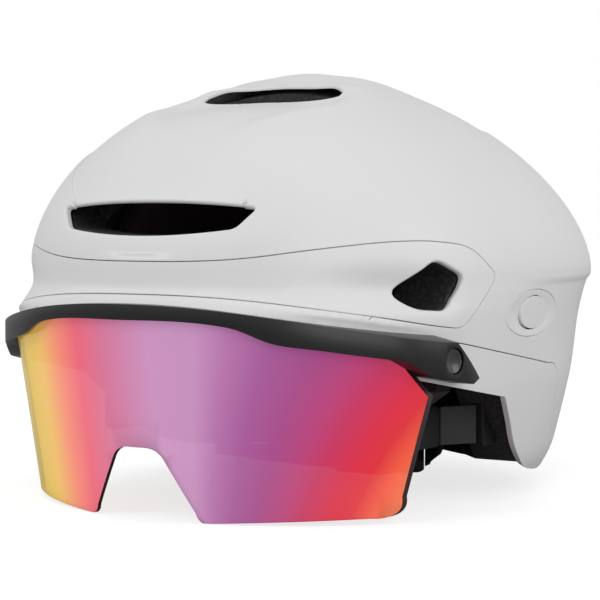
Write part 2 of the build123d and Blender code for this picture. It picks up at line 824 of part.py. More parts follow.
def make_stem():
    """Height stem over the cradle and the guide that holds it on the liner."""
    low = cradle_height + fit_gap + stem_wall / 2
    path = FilletPolyline(
        (stem_front_y, low), (stem_y, low), (stem_y, stem_high), radius=stem_bend
    )
    stem = side_prism(trace(path, stem_wall), -stem_width / 2, stem_width / 2)
    keep("height_stem", stem)
    near = stem_y - stem_wall / 2 - fit_gap
    far = stem_y + stem_wall / 2 + fit_gap
    high = guide_low + guide_height
    guide = block((-guide_width / 2, near - guide_lip, guide_low), (guide_width / 2, guide_back_y, high))
    half = stem_width / 2 + fit_gap
    guide -= block((-half, near, guide_low), (half, far, high))
    guide -= block((guide_lip - half, near - guide_lip, guide_low), (half - guide_lip, near, high))
    keep("stem_guide", guide)


def make_straps():
    """Strap anchors, webbing, dividers, buckle and keeper, tucked up into the cavity."""
    anchors = [strap_anchor(front_anchor, False), strap_anchor(rear_anchor, True)]
    keep("strap_anchors", Compound(anchors + [mirrored(anchor) for anchor in anchors]))
    keep_pair("front_strap", ribbon(*front_strap_ends, strap_width, strap_wall))
    keep_pair("rear_strap", ribbon(*rear_strap_ends, strap_width, strap_wall))
    divider = Pos(*divider_centre) * Box(divider_wall, divider_length, divider_height)
    keep_pair("strap_divider", fillet(divider.edges().filter_by(Axis.X), divider_wall / 2))
    middle_y = divider_centre[1]
    path = FilletPolyline(*chin_strap_points, radius=chin_strap_bends)
    chin = front_prism(
        trace(path, strap_wall), middle_y - strap_width / 2, middle_y + strap_width / 2
    )
    keep_pair("chin_strap", chin)
    place = Pos(0, middle_y, buckle_z)
    ahead = (Align.MIN, Align.CENTER, Align.CENTER)
    behind = (Align.MAX, Align.CENTER, Align.CENTER)
    female = Box(buckle_length, buckle_width, buckle_height, align=ahead)
    female -= Box(
        prong_length + fit_gap, prong_width + 2 * fit_gap, prong_height + 2 * fit_gap, align=ahead
    )
    keep("buckle_female", place * female)
    male = Pos(-fit_gap, 0, 0) * Box(buckle_length - fit_gap, buckle_width, buckle_height, align=behind)
    male += Pos(-fit_gap, 0, 0) * Box(prong_length, prong_width, prong_height, align=ahead)
    keep("buckle_male", place * male)
    hole_width, hole_height = strap_width + 2 * fit_gap, strap_wall + 2 * fit_gap
    keeper = Box(keeper_length, hole_width + 2 * keeper_wall, hole_height + 2 * keeper_wall)
    keeper -= Box(keeper_length, hole_width, hole_height)
    keep("strap_keeper", Pos(keeper_x, middle_y, buckle_z) * keeper)


make_shell()
make_rear_insert()
make_liner()
make_pads()
make_frame()
keep("shield_lens", lens_body())
make_cradle()
make_dial()
make_stem()
make_straps()
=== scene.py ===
import json
import logging
import math
from collections.abc import Callable, Iterator
from contextlib import contextmanager
from dataclasses import dataclass
from enum import Enum

import bmesh
import bpy
import numpy as np
from mathutils import Matrix, Vector
from mathutils.bvhtree import BVHTree
from mathutils.kdtree import KDTree

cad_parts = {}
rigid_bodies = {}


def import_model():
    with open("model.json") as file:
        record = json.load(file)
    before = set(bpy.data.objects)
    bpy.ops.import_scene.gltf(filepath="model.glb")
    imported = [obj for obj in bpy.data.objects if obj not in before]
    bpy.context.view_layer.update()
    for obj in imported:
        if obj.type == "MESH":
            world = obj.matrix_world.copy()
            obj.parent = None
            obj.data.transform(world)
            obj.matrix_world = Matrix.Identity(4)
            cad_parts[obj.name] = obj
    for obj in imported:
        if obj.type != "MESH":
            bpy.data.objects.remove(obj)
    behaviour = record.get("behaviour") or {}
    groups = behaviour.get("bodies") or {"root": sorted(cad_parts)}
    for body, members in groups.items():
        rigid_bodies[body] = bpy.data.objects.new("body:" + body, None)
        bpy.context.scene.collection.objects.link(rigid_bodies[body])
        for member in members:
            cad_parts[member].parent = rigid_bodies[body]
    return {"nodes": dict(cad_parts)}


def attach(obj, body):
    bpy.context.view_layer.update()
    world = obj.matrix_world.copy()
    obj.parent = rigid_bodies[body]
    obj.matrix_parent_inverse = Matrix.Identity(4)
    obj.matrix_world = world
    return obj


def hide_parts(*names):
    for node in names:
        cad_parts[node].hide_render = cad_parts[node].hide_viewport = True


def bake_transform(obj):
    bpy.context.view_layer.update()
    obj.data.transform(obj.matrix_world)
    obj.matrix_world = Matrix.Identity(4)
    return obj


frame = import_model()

LOG = logging.getLogger("helmet")
MM = 0.001
WELD = 0.000005
Spot = tuple[float, float]
Runs = list[list[Spot]]
FULL_TURN = 2 * math.pi
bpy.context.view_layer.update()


class Body(Enum):
    """Moving bodies of the helmet."""

    HELMET = "helmet"
    SHIELD = "shield"
    STEM = "stem"
    CRADLE = "cradle"
    DIAL = "dial"
    TONGUE = "buckle_tongue"


class Side(Enum):
    """Wearer's side, with its sign along X."""

    LEFT = 1
    RIGHT = -1


def feed(node: bpy.types.Node, **values: object) -> None:
    """Set a node's fields and inputs, with a link where the value is another node's output.

    Args:
        node: the node.
        values: fields by name, or inputs by name with spaces as underscores.
    """
    for key, value in values.items():
        if hasattr(node, key):
            setattr(node, key, value)
            continue
        socket = node.inputs[key.replace("_", " ")]
        if isinstance(value, bpy.types.NodeSocket):
            node.id_data.links.new(value, socket)
        else:
            socket.default_value = value


def add_node(tree: bpy.types.NodeTree, kind: str, **values: object) -> bpy.types.Node:
    """Add a node and feed it.

    Args:
        tree: the tree that gets the node.
        kind: the node's type.
        values: its fields and inputs.

    Returns:
        The new node.
    """
    node = tree.nodes.new(kind)
    feed(node, **values)
    return node


def maths(
    tree: bpy.types.NodeTree, operation: str, *values: object, **fields: object,
) -> bpy.types.NodeSocket:
    """Add a maths node.

    Args:
        tree: the tree that gets the node.
        operation: what it works out.
        values: numbers or other nodes' outputs, in the order of its inputs.
        fields: its other fields.

    Returns:
        Its output.
    """
    node = add_node(tree, "ShaderNodeMath", operation=operation, **fields)
    for socket, value in zip(node.inputs, values):
        if isinstance(value, bpy.types.NodeSocket):
            tree.links.new(value, socket)
        else:
            socket.default_value = value
    return node.outputs[0]


def object_place(tree: bpy.types.NodeTree) -> bpy.types.NodeSocket:
    """Object coordinates, one output socket."""
    return add_node(tree, "ShaderNodeTexCoord").outputs["Object"]


def cloud(tree: bpy.types.NodeTree, scale: object, detail: float = 2.0) -> bpy.types.NodeSocket:
    """Noise over the object's own coordinates, one output socket."""
    return add_node(
        tree, "ShaderNodeTexNoise", Vector=object_place(tree), Scale=scale, Detail=detail,
    ).outputs["Fac"]


def ramp(
    tree: bpy.types.NodeTree, stops: list[tuple[float, tuple[float, ...]]], share: bpy.types.NodeSocket,
) -> bpy.types.NodeSocket:
    """Add a colour ramp.

    Args:
        tree: the tree that gets the node.
        stops: place and colour of each stop.
        share: the output that picks the place.

    Returns:
        The colour.
    """
    node = add_node(tree, "ShaderNodeValToRGB", Fac=share)
    elements = node.color_ramp.elements
    while len(elements) < len(stops):
        elements.new(0.5)
    for element, (place, colour) in zip(elements, stops):
        element.position = place
    for element, (place, colour) in zip(elements, stops):
        element.color = (*colour, 1)
    return node.outputs["Color"]


def new_group(name: str, inputs: dict[str, float], second: str) -> tuple[bpy.types.NodeTree, ...]:
    """Start a node group that gives a normal and one more value.

    Args:
        name: the group's name.
        inputs: its inputs and their defaults.
        second: the other output's name.

    Returns:
        The group's tree, its input node and its output node.
    """
    tree = bpy.data.node_groups.new(name, "ShaderNodeTree")
    for key, default in inputs.items():
        socket = tree.interface.new_socket(key, in_out="INPUT", socket_type="NodeSocketFloat")
        socket.default_value = default
    tree.interface.new_socket("Normal", in_out="OUTPUT", socket_type="NodeSocketVector")
    tree.interface.new_socket(second, in_out="OUTPUT", socket_type="NodeSocketFloat")
    return tree, tree.nodes.new("NodeGroupInput"), tree.nodes.new("NodeGroupOutput")


def grain_group() -> bpy.types.NodeTree:
    """Build the moulded grain effect once.

    Returns:
        A node group that gives a normal and a roughness.
    """
    known = bpy.data.node_groups.get("moulded_grain")
    if known:
        return known
    inputs = {"Scale": 900.0, "Depth": 0.00002, "Roughness": 0.5, "Spread": 0.06}
    tree, inner, outer = new_group("moulded_grain", inputs, "Roughness")
    given = inner.outputs
    grain = cloud(tree, given["Scale"])
    bump = add_node(tree, "ShaderNodeBump", Strength=1.0, Height=grain, Distance=given["Depth"])
    drift = maths(tree, "SUBTRACT", cloud(tree, 18.0, 3.0), 0.5)
    rough = maths(tree, "MULTIPLY_ADD", drift, given["Spread"], given["Roughness"])
    feed(outer, Normal=bump.outputs["Normal"], Roughness=rough)
    return tree


def weave_group() -> bpy.types.NodeTree:
    """Build the webbing and knit effect once.

    Returns:
        A node group that gives a normal and a shade from 0 to 1.
    """
    known = bpy.data.node_groups.get("woven_threads")
    if known:
        return known
    tree, inner, outer = new_group("woven_threads", {"Pitch": 900.0, "Depth": 0.0002}, "Shade")
    place, given = object_place(tree), inner.outputs
    waves = []
    for axis in "XYZ":
        wave = add_node(tree, "ShaderNodeTexWave", wave_type="BANDS", bands_direction=axis)
        feed(wave, Vector=place, Scale=given["Pitch"])
        waves.append(wave.outputs["Fac"])
    crossed = maths(tree, "MULTIPLY", waves[0], waves[1])
    shade = maths(tree, "MULTIPLY", maths(tree, "ADD", crossed, waves[2]), 0.5)
    bump = add_node(tree, "ShaderNodeBump", Strength=0.8, Height=shade, Distance=given["Depth"])
    feed(outer, Normal=bump.outputs["Normal"], Shade=shade)
    return tree


@dataclass(frozen=True)
class Finish:
    """A named finish, whose material is made once."""

    name: str

    def build(self) -> bpy.types.Material:
        """Find the material, or make it.

        Returns:
            The material.
        """
        known = bpy.data.materials.get(self.name)
        if known:
            return known
        material = bpy.data.materials.new(self.name)
        material.use_nodes = True
        self.fill(material.node_tree, material.node_tree.nodes["Principled BSDF"])
        return material

    def fill(self, tree: bpy.types.NodeTree, shader: bpy.types.Node) -> None:
        """Feed the shader, each finish in its own way."""
        raise NotImplementedError


@dataclass(frozen=True)
class Moulded(Finish):
    """A moulded or painted finish with fine grain and a slight drift of colour."""

    colour: tuple[float, float, float]
    roughness: float = 0.5
    grain: float = 900.0
    depth: float = 0.00002
    spread: float = 0.06
    drift: float = 0.03
    coat: float = 0.0
    metallic: float = 0.0
    specular: float = 0.5

    def fill(self, tree: bpy.types.NodeTree, shader: bpy.types.Node) -> None:
        """Feed the shader with the grain and the drifting colour.

        Args:
            tree: the material's nodes.
            shader: its shader.
        """
        group = add_node(
            tree, "ShaderNodeGroup", node_tree=grain_group(), Scale=self.grain, Depth=self.depth,
            Roughness=self.roughness, Spread=self.spread,
        )
        dark = tuple(c * (1 - self.drift) for c in self.colour)
        light = tuple(min(1, c * (1 + self.drift)) for c in self.colour)
        feed(
            shader, Base_Color=ramp(tree, [(0.3, dark), (0.7, light)], cloud(tree, 25.0, 4.0)),
            Normal=group.outputs["Normal"], Roughness=group.outputs["Roughness"],
            Metallic=self.metallic, Coat_Weight=self.coat, Specular_IOR_Level=self.specular,
        )


@dataclass(frozen=True)
class Foam(Finish):
    """Beaded foam: round cells pressed together, with painted shade darkening the seams between them."""

    colour: tuple[float, float, float]
    cells: float = 320.0
    depth: float = 0.0004

    def fill(self, tree: bpy.types.NodeTree, shader: bpy.types.Node) -> None:
        """Feed the shader with the cells.

        Args:
            tree: the material's nodes.
            shader: its shader.
        """
        cells = add_node(tree, "ShaderNodeTexVoronoi", Scale=self.cells, feature="DISTANCE_TO_EDGE")
        feed(cells, Vector=object_place(tree))
        edge = cells.outputs["Distance"]
        # The seams are painted darker than the cells: painted shade in the creases between the beads.
        seam = tuple(c * 0.35 for c in self.colour)
        bump = add_node(tree, "ShaderNodeBump", Strength=0.7, Distance=self.depth, Height=edge)
        feed(
            shader, Base_Color=ramp(tree, [(0.0, seam), (0.25, self.colour)], edge),
            Normal=bump.outputs["Normal"], Roughness=0.75,
        )


@dataclass(frozen=True)
class Woven(Finish):
    """Webbing or knit: fine threads with a soft sheen, and painted shade where the threads sink."""

    colour: tuple[float, float, float]
    pitch: float = 700.0
    depth: float = 0.0002

    def fill(self, tree: bpy.types.NodeTree, shader: bpy.types.Node) -> None:
        """Feed the shader with the threads.

        Args:
            tree: the material's nodes.
            shader: its shader.
        """
        group = add_node(
            tree, "ShaderNodeGroup", node_tree=weave_group(), Pitch=self.pitch, Depth=self.depth,
        )
        # The threads' low places are painted darker, down to half the colour: painted shade between the
        # threads.
        dark = tuple(c * 0.5 for c in self.colour)
        feed(
            shader, Base_Color=ramp(tree, [(0.0, dark), (1.0, self.colour)], group.outputs["Shade"]),
            Normal=group.outputs["Normal"], Roughness=0.85, Sheen_Weight=0.08, Specular_IOR_Level=0.2,
        )


@dataclass(frozen=True)
class MirrorTint(Finish):
    """Tinted lens with a mirror coating whose colour changes round the lens; its colours also glow, as
    painted light.
    """

    name: str = "lens_mirror_tint"
    axis_y: float = -18.6 * MM
    half_turn: float = math.radians(62)
    height: float = 0.078
    spread: float = 0.9
    clear: float = 0.17
    # glow: how strongly the lens gives off its own colours, painted light
    glow: float = 0.38
    palest: float = 0.58

    def fill(self, tree: bpy.types.NodeTree, shader: bpy.types.Node) -> None:
        """Feed the shader with the colours, which lean right of the palest place, and make them glow as
        painted light.

        Args:
            tree: the material's nodes.
            shader: its shader.
        """
        parts = add_node(tree, "ShaderNodeSeparateXYZ", Vector=object_place(tree)).outputs
        ahead = maths(tree, "SUBTRACT", self.axis_y, parts["Y"])
        angle = maths(tree, "ARCTAN2", parts["X"], ahead)
        lean = add_node(
            tree, "ShaderNodeMapRange", clamp=False, Value=parts["Z"], From_Min=0.0, From_Max=self.height,
            To_Min=0.6, To_Max=-0.25,
        )
        around = add_node(
            tree, "ShaderNodeMapRange", Value=angle, From_Min=-self.half_turn, From_Max=self.half_turn,
        )
        share = around.outputs["Result"]
        outer = maths(tree, "SUBTRACT", share, self.palest, use_clamp=True)
        tilt = maths(tree, "MULTIPLY_ADD", outer, lean.outputs["Result"], share)
        colours = ramp(tree, [
            (0.2, (0.85, 0.6, 0.08)), (0.25, (0.9, 0.57, 0.14)), (0.31, (0.92, 0.28, 0.2)),
            (0.355, (0.84, 0.15, 0.22)), (0.405, (0.7, 0.2, 0.35)), (0.484, (0.63, 0.32, 0.56)),
            (0.548, (0.6, 0.31, 0.55)), (0.59, (0.5, 0.19, 0.44)), (0.639, (0.42, 0.115, 0.35)),
            (0.698, (0.42, 0.08, 0.28)), (0.758, (0.53, 0.06, 0.21)), (0.8, (0.6, 0.04, 0.13)),
            (0.86, (0.72, 0.03, 0.07)), (0.905, (0.74, 0.035, 0.05)), (0.96, (0.9, 0.13, 0.06)),
            (1.0, (0.92, 0.2, 0.08)),
        ], maths(tree, "MULTIPLY", tilt, self.spread))
        # The colours glow at self.glow though the lens is no lamp: painted light that brightens the lens as
        # if lit.
        feed(
            shader, Base_Color=colours, Emission_Color=colours, Emission_Strength=self.glow,
            Roughness=0.12, Metallic=0.25, Alpha=1 - self.clear, Coat_Weight=0.3,
        )


@dataclass(frozen=True)
class Backdrop(Finish):
    """Pale floor that glows to the camera alone, so that it looks white beside the shadow."""

    name: str = "floor_white"
    glow: float = 0.75

    def fill(self, tree: bpy.types.NodeTree, shader: bpy.types.Node) -> None:
        """Feed the shader, and add the glow to it.

        Args:
            tree: the material's nodes.
            shader: its shader.
        """
        greys = [(0.3, (0.36, 0.36, 0.36)), (0.7, (0.38, 0.38, 0.38))]
        feed(shader, Base_Color=ramp(tree, greys, cloud(tree, 3.0)), Roughness=0.9)
        camera_ray = tree.nodes.new("ShaderNodeLightPath").outputs["Is Camera Ray"]
        glow = add_node(tree, "ShaderNodeEmission", Strength=maths(tree, "MULTIPLY", camera_ray, self.glow))
        both = tree.nodes.new("ShaderNodeAddShader")
        tree.links.new(shader.outputs["BSDF"], both.inputs[0])
        tree.links.new(glow.outputs["Emission"], both.inputs[1])
        feed(tree.nodes["Material Output"], Surface=both.outputs["Shader"])


WHITE_SHELL = Moulded("shell_matt_white", (0.77, 0.77, 0.78), 0.42, 1400.0, 0.000006, 0.05, 0.008)
LINER_FOAM = Foam("liner_beads", (0.028, 0.028, 0.03))
VENT_PLASTIC = Moulded("vent_black", (0.02, 0.02, 0.022), 0.5)
PAD_KNIT = Woven("pad_knit", (0.045, 0.045, 0.05), 1100.0, 0.00015)
FRAME_BLACK = Moulded("frame_satin_black", (0.006, 0.006, 0.007), 0.3, 1500.0, 0.00001, 0.1, 0.05)
COVER_GREY = Moulded("cover_gloss", (0.03, 0.03, 0.033), 0.25, coat=0.4)
MAGNET_STEEL = Moulded("magnet_plated", (0.55, 0.55, 0.57), 0.25, metallic=1.0)
FIT_PLASTIC = Moulded("fit_satin_black", (0.008, 0.008, 0.009), 0.5, specular=0.2)
DIAL_RUBBER = Moulded("dial_rubber", (0.03, 0.03, 0.032), 0.7, 600.0, 0.00004)
LACE_CORD = Woven("lace_braid", (0.03, 0.03, 0.032), 2500.0, 0.0001)
WEBBING = Woven("strap_webbing", (0.014, 0.014, 0.015), 900.0, 0.0003)
BUCKLE_BLACK = Moulded("buckle_black", (0.009, 0.009, 0.01), 0.5, 1100.0, specular=0.25)
LENS_TINT_AND_PAINTED_GLOW = MirrorTint()
LENS_EDGE = Moulded("lens_edge_dark", (0.03, 0.008, 0.012), 0.35)
FLOOR_WHITE = Backdrop()


def dress(obj: bpy.types.Object, finish: Finish) -> None:
    """Give an object one finish on all its faces.

    Args:
        obj: the object.
        finish: a finish with a build method.
    """
    material = finish.build()
    if obj.data.materials:
        for k in range(len(obj.data.materials)):
            obj.data.materials[k] = material
    else:
        obj.data.materials.append(material)


def settled(obj: bpy.types.Object) -> bpy.types.Object:
    """Apply an object's modifiers to its mesh.

    Args:
        obj: the object.

    Returns:
        The same object.
    """
    graph = bpy.context.evaluated_depsgraph_get()
    mesh = bpy.data.meshes.new_from_object(obj.evaluated_get(graph))
    old = obj.data
    obj.modifiers.clear()
    obj.data = mesh
    bpy.data.meshes.remove(old)
    return obj


def as_object(name: str, bm: bmesh.types.BMesh) -> bpy.types.Object:
    """Turn a bmesh into an object at the origin.

    Args:
        name: the object's name.
        bm: the bmesh, which is freed.

    Returns:
        The new object.
    """
    mesh = bpy.data.meshes.new(name)
    bm.to_mesh(mesh)
    bm.free()
    obj = bpy.data.objects.new(name, mesh)
    bpy.context.scene.collection.objects.link(obj)
    return obj


def copied(obj: bpy.types.Object, name: str) -> bpy.types.Object:
    """Copy an object and its mesh, with no modifiers or parent.

    Args:
        obj: the object to copy.
        name: the copy's name.

    Returns:
        The copy.
    """
    twin = bpy.data.objects.new(name, obj.data.copy())
    bpy.context.scene.collection.objects.link(twin)
    return twin


def drop(*objects: bpy.types.Object) -> None:
    """Remove helper objects."""
    for obj in objects:
        bpy.data.objects.remove(obj)


def ease(value: np.ndarray, low: float, high: float) -> np.ndarray:
    """Smooth step from 0 at low to 1 at high."""
    share = np.clip((value - low) / (high - low), 0, 1)
    return share * share * (3 - 2 * share)


@dataclass
class Outline:
    """A closed outline of smooth runs between corners, in a side, front or top view."""

    runs: Runs
    steps: int = 8

    def points(self) -> list[Spot]:
        """Points along the outline, in millimetres.

        Returns:
            The points, each run smoothed through its own points.
        """
        spots: list[Spot] = []
        for row in self.runs:
            if len(row) == 2:
                spots.append(row[0])
                continue
            table = np.array(row, float)
            reach = np.concatenate([[0], np.cumsum(np.hypot(*np.diff(table, axis=0).T))])
            slopes = np.gradient(table, reach, axis=0, edge_order=2)
            for k in range(len(row) - 1):
                span = reach[k + 1] - reach[k]
                for t in np.arange(self.steps) / self.steps:
                    spot = (
                        table[k] * (1 + 2 * t) * (1 - t) ** 2 + table[k + 1] * t * t * (3 - 2 * t)
                        + span * t * (1 - t) * (slopes[k] * (1 - t) - slopes[k + 1] * t)
                    )
                    spots.append((float(spot[0]), float(spot[1])))
        return spots

    def prism(self, name: str, axes: str, low: float, high: float) -> bpy.types.Object:
        """Closed solid with the outline as its view along the missing axis.

        Args:
            name: the object's name.
            axes: the outline's two axes, such as YZ.
            low: where the solid starts along the third axis.
            high: where it ends.

        Returns:
            The solid, its faces marked with the second material slot.
        """
        third = ({"X", "Y", "Z"} - set(axes)).pop()
        bm = bmesh.new()
        verts = []
        for a, b in self.points():
            place = {axes[0]: a * MM, axes[1]: b * MM, third: low * MM}
            verts.append(bm.verts.new((place["X"], place["Y"], place["Z"])))
        face = bm.faces.new(verts)
        result = bmesh.ops.extrude_face_region(bm, geom=[face])
        moved = [item for item in result["geom"] if isinstance(item, bmesh.types.BMVert)]
        way = Vector([(high - low) * MM if axis == third else 0 for axis in "XYZ"])
        bmesh.ops.translate(bm, verts=moved, vec=way)
        bmesh.ops.recalc_face_normals(bm, faces=bm.faces[:])
        for item in bm.faces:
            item.material_index = 1
        return as_object(name, bm)


def carve(obj: bpy.types.Object, keep: list[bpy.types.Object], cut: list[bpy.types.Object]) -> None:
    """Intersect a solid with some solids and take others out of it.

    Args:
        obj: the solid that is carved.
        keep: solids to stay inside.
        cut: solids to take out.
    """
    for tools, operation in ((keep, "INTERSECT"), (cut, "DIFFERENCE")):
        for tool in tools:
            step = obj.modifiers.new(operation.lower(), "BOOLEAN")
            step.object = tool
            step.operation = operation
            step.solver = "MANIFOLD"
            settled(obj)


def clear_rims(bm: bmesh.types.BMesh, short: float = 0.0005, near: float = 0.0014) -> None:
    """Thin out the points of a sheet's rims and clear a band of faces beside them.

    Args:
        bm: the sheet.
        short: rim edges shorter than this lose a point.
        near: inner points nearer to a rim than this are dissolved.
    """
    for _ in range(3):
        taken: set[bmesh.types.BMVert] = set()
        target: dict[bmesh.types.BMVert, bmesh.types.BMVert] = {}
        for edge in bm.edges:
            if edge.is_boundary and edge.calc_length() < short and not taken & set(edge.verts):
                one, two = sorted(edge.verts, key=rim_turn)
                target[one] = two
                taken |= {one, two}
        if not target:
            break
        bmesh.ops.weld_verts(bm, targetmap=target)
    tree_points = []
    for edge in bm.edges:
        if edge.is_boundary:
            count = max(2, int(edge.calc_length() / 0.0003))
            tree_points += [edge.verts[0].co.lerp(edge.verts[1].co, k / count) for k in range(count)]
    tree = KDTree(len(tree_points))
    for k, point in enumerate(tree_points):
        tree.insert(point, k)
    tree.balance()
    inner = [vert for vert in bm.verts if not vert.is_boundary and tree.find(vert.co)[2] < near]
    bmesh.ops.dissolve_verts(bm, verts=inner, use_face_split=False, use_boundary_tear=False)
    split_band(bm)


def split_band(bm: bmesh.types.BMesh) -> None:
    """Split the long faces beside a sheet's rims, from each inner point to its nearest rim point.

    Args:
        bm: the sheet.
    """
    rim = [vert for vert in bm.verts if vert.is_boundary]
    tree = KDTree(len(rim))
    for k, vert in enumerate(rim):
        tree.insert(vert.co, k)
    tree.balance()
    beside = [
        vert for vert in bm.verts
        if not vert.is_boundary and any(len(face.verts) > 5 for face in vert.link_faces)
    ]
    for vert in beside:
        other = rim[tree.find(vert.co)[1]]
        joined = any(other in edge.verts for edge in vert.link_edges)
        shared = [face for face in vert.link_faces if face in other.link_faces[:]]
        if shared and not joined:
            bmesh.utils.face_split(shared[0], vert, other)


def rim_turn(vert: bmesh.types.BMVert) -> float:
    """How much a rim turns at one of its points, in radians."""
    ways = [edge.other_vert(vert).co - vert.co for edge in vert.link_edges if edge.is_boundary]
    return math.pi - ways[0].angle(ways[1], math.pi) if len(ways) == 2 else math.pi


def take_normals(obj: bpy.types.Object, source: bpy.types.Object, near: float = 0.00012) -> None:
    """Give a skin's outer points the normals of the smooth surface that it was cut from.

    Args:
        obj: the skin.
        source: the smooth surface.
        near: how far from the surface a point of the skin may lie.
    """
    bm = bmesh.new()
    bm.from_mesh(source.data)
    tree = BVHTree.FromBMesh(bm)
    bm.free()
    on_it = [vert.index for vert in obj.data.vertices if tree.find_nearest(vert.co, near)[0] is not None]
    group = obj.vertex_groups.new(name="outer")
    group.add(on_it, 1.0, "REPLACE")
    step = obj.modifiers.new("normals", "DATA_TRANSFER")
    step.object = source
    step.use_loop_data = True
    step.data_types_loops = {"CUSTOM_NORMAL"}
    step.loop_mapping = "POLYINTERP_NEAREST"
    step.vertex_group = group.name
    settled(obj)

@contextmanager
def edited(obj: bpy.types.Object) -> Iterator[bmesh.types.BMesh]:
    """Open an object's mesh as a bmesh, and write it back at the end.

    Args:
        obj: the object.

    Yields:
        The open mesh.
    """
    bm = bmesh.new()
    bm.from_mesh(obj.data)
    yield bm
    bm.to_mesh(obj.data)
    bm.free()


def round_edges(bm: bmesh.types.BMesh, edges: list[bmesh.types.BMEdge], width: float, clamp: bool) -> None:
    """Round edges, with three faces across each.

    Args:
        bm: the mesh.
        edges: the edges.
        width: the rounding in metres.
        clamp: whether it stops where two roundings meet.
    """
    bmesh.ops.bevel(
        bm, geom=edges, offset=width, offset_type="OFFSET", affect="EDGES", segments=3,
        profile=0.5, material=-1, clamp_overlap=clamp,
    )
def skin(
    obj: bpy.types.Object, wall: float, width_at: Callable[[Vector], float], source: bpy.types.Object,
) -> None:
    """Keep only the faces of the first slot, give them a wall inwards and round its rims.

    Args:
        obj: a carved solid, whose cut faces have the second slot.
        wall: the wall in metres.
        width_at: the rounding in metres at a place on the rim.
        source: the smooth surface that the solid was cut from.
    """
    with edited(obj) as bm:
        faces = [face for face in bm.faces if face.material_index != 0]
        bmesh.ops.delete(bm, geom=faces, context="FACES")
        bmesh.ops.remove_doubles(bm, verts=bm.verts[:], dist=4 * WELD)
        clear_rims(bm)
    step = obj.modifiers.new("wall", "SOLIDIFY")
    step.thickness, step.offset = wall, -1
    step.material_offset_rim, step.material_offset = 1, 2
    settled(obj)
    with edited(obj) as bm:
        groups: dict[float, list[bmesh.types.BMEdge]] = {}
        for edge in bm.edges:
            if sorted(face.material_index for face in edge.link_faces) == [0, 1]:
                groups.setdefault(width_at((edge.verts[0].co + edge.verts[1].co) / 2), []).append(edge)
        for width, edges in sorted(groups.items(), reverse=True):
            round_edges(bm, [edge for edge in edges if edge.is_valid], width, False)
        for face in bm.faces:
            face.material_index = 0
        bmesh.ops.recalc_face_normals(bm, faces=bm.faces[:])
    smooth(obj, 35)
    take_normals(obj, source)


def smooth(obj: bpy.types.Object, degrees: float) -> None:
    """Shade smooth, with edges sharper than an angle kept.

    Args:
        obj: the object.
        degrees: the angle.
    """
    for polygon in obj.data.polygons:
        polygon.use_smooth = True
    obj.data.set_sharp_from_angle(angle=math.radians(degrees))


def smooth_regions(bm: bmesh.types.BMesh, degrees: float) -> list[list[bmesh.types.BMFace]]:
    """Regions of faces that sharp edges divide.

    Args:
        bm: the mesh.
        degrees: edges that turn more than this divide two regions.

    Returns:
        The faces of each region.
    """
    limit = math.radians(degrees)
    left = set(bm.faces)
    regions = []
    for first in bm.faces:
        if first not in left:
            continue
        left.remove(first)
        region, open_faces = [first], [first]
        while open_faces:
            face = open_faces.pop()
            for edge in face.edges:
                if edge.calc_face_angle(math.pi) > limit:
                    continue
                for other in edge.link_faces:
                    if other in left:
                        left.remove(other)
                        region.append(other)
                        open_faces.append(other)
        regions.append(region)
    return regions


def sink_face(bm: bmesh.types.BMesh, side: Side, rim: float = 1.3, depth: float = 0.9) -> None:
    """Sink the outer face of a round cover, inside a plain rim.

    Args:
        bm: the cover.
        side: the wearer's side that the face looks to.
        rim: the rim's width in millimetres.
        depth: how far the face is sunk, in millimetres.
    """
    way = Vector((side.value, 0, 0))
    faces = sorted(bm.faces, key=lambda face: face.calc_area() * face.normal.dot(way))
    bmesh.ops.inset_region(bm, faces=faces[-1:], thickness=rim * MM, depth=-depth * MM, use_even_offset=True)


def softened(
    node: str, finish: object, width: float = 0.4, body: Body | None = None, sunk: Side | None = None,
) -> bpy.types.Object:
    """Stand-in for a rigid CAD node, with its sharp edges rounded.

    Args:
        node: the CAD node.
        finish: its finish.
        width: the rounding in millimetres.
        body: the body that it rides on, or none where it lies between two bodies and rides on neither.
        sunk: the side to which a sunk face looks, if it has one.

    Returns:
        The new piece.
    """
    obj = copied(frame["nodes"][node], f"{node}_piece")
    with edited(obj) as bm:
        bmesh.ops.remove_doubles(bm, verts=bm.verts[:], dist=WELD)
        bmesh.ops.dissolve_limit(bm, angle_limit=math.radians(1.5), verts=bm.verts[:], edges=bm.edges[:])
        if sunk:
            sink_face(bm, sunk)
        edges = [
            edge for edge in bm.edges
            if len(edge.link_faces) == 2 and edge.calc_face_angle(0) > math.radians(38)
        ]
        round_edges(bm, edges, width * MM, True)
        bmesh.ops.triangulate(bm, faces=[face for face in bm.faces if len(face.verts) > 4])
    smooth(obj, 30)
    dress(obj, finish)
    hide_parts(node)
    if body:
        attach(obj, body.value)
    return obj


def through(table: tuple[Spot, ...], place: np.ndarray) -> np.ndarray:
    """Cubic curve through a table's points, with slopes from the neighbours.

    Args:
        table: the points.
        place: where the curve is read.

    Returns:
        The curve's values.
    """
    x, y = (np.array(column, float) for column in zip(*table))
    last = len(x) - 1
    low, high = np.maximum(np.arange(last + 1) - 1, 0), np.minimum(np.arange(last + 1) + 1, last)
    slope = (y[high] - y[low]) / (x[high] - x[low])
    i = np.clip(np.searchsorted(x, place) - 1, 0, last - 1)
    span = x[i + 1] - x[i]
    t = np.clip((place - x[i]) / span, 0, 1)
    value = y[i] * (1 + 2 * t) * (1 - t) ** 2 + y[i + 1] * t * t * (3 - 2 * t)
    return value + span * t * (1 - t) * (slope[i] * (1 - t) - slope[i + 1] * t)


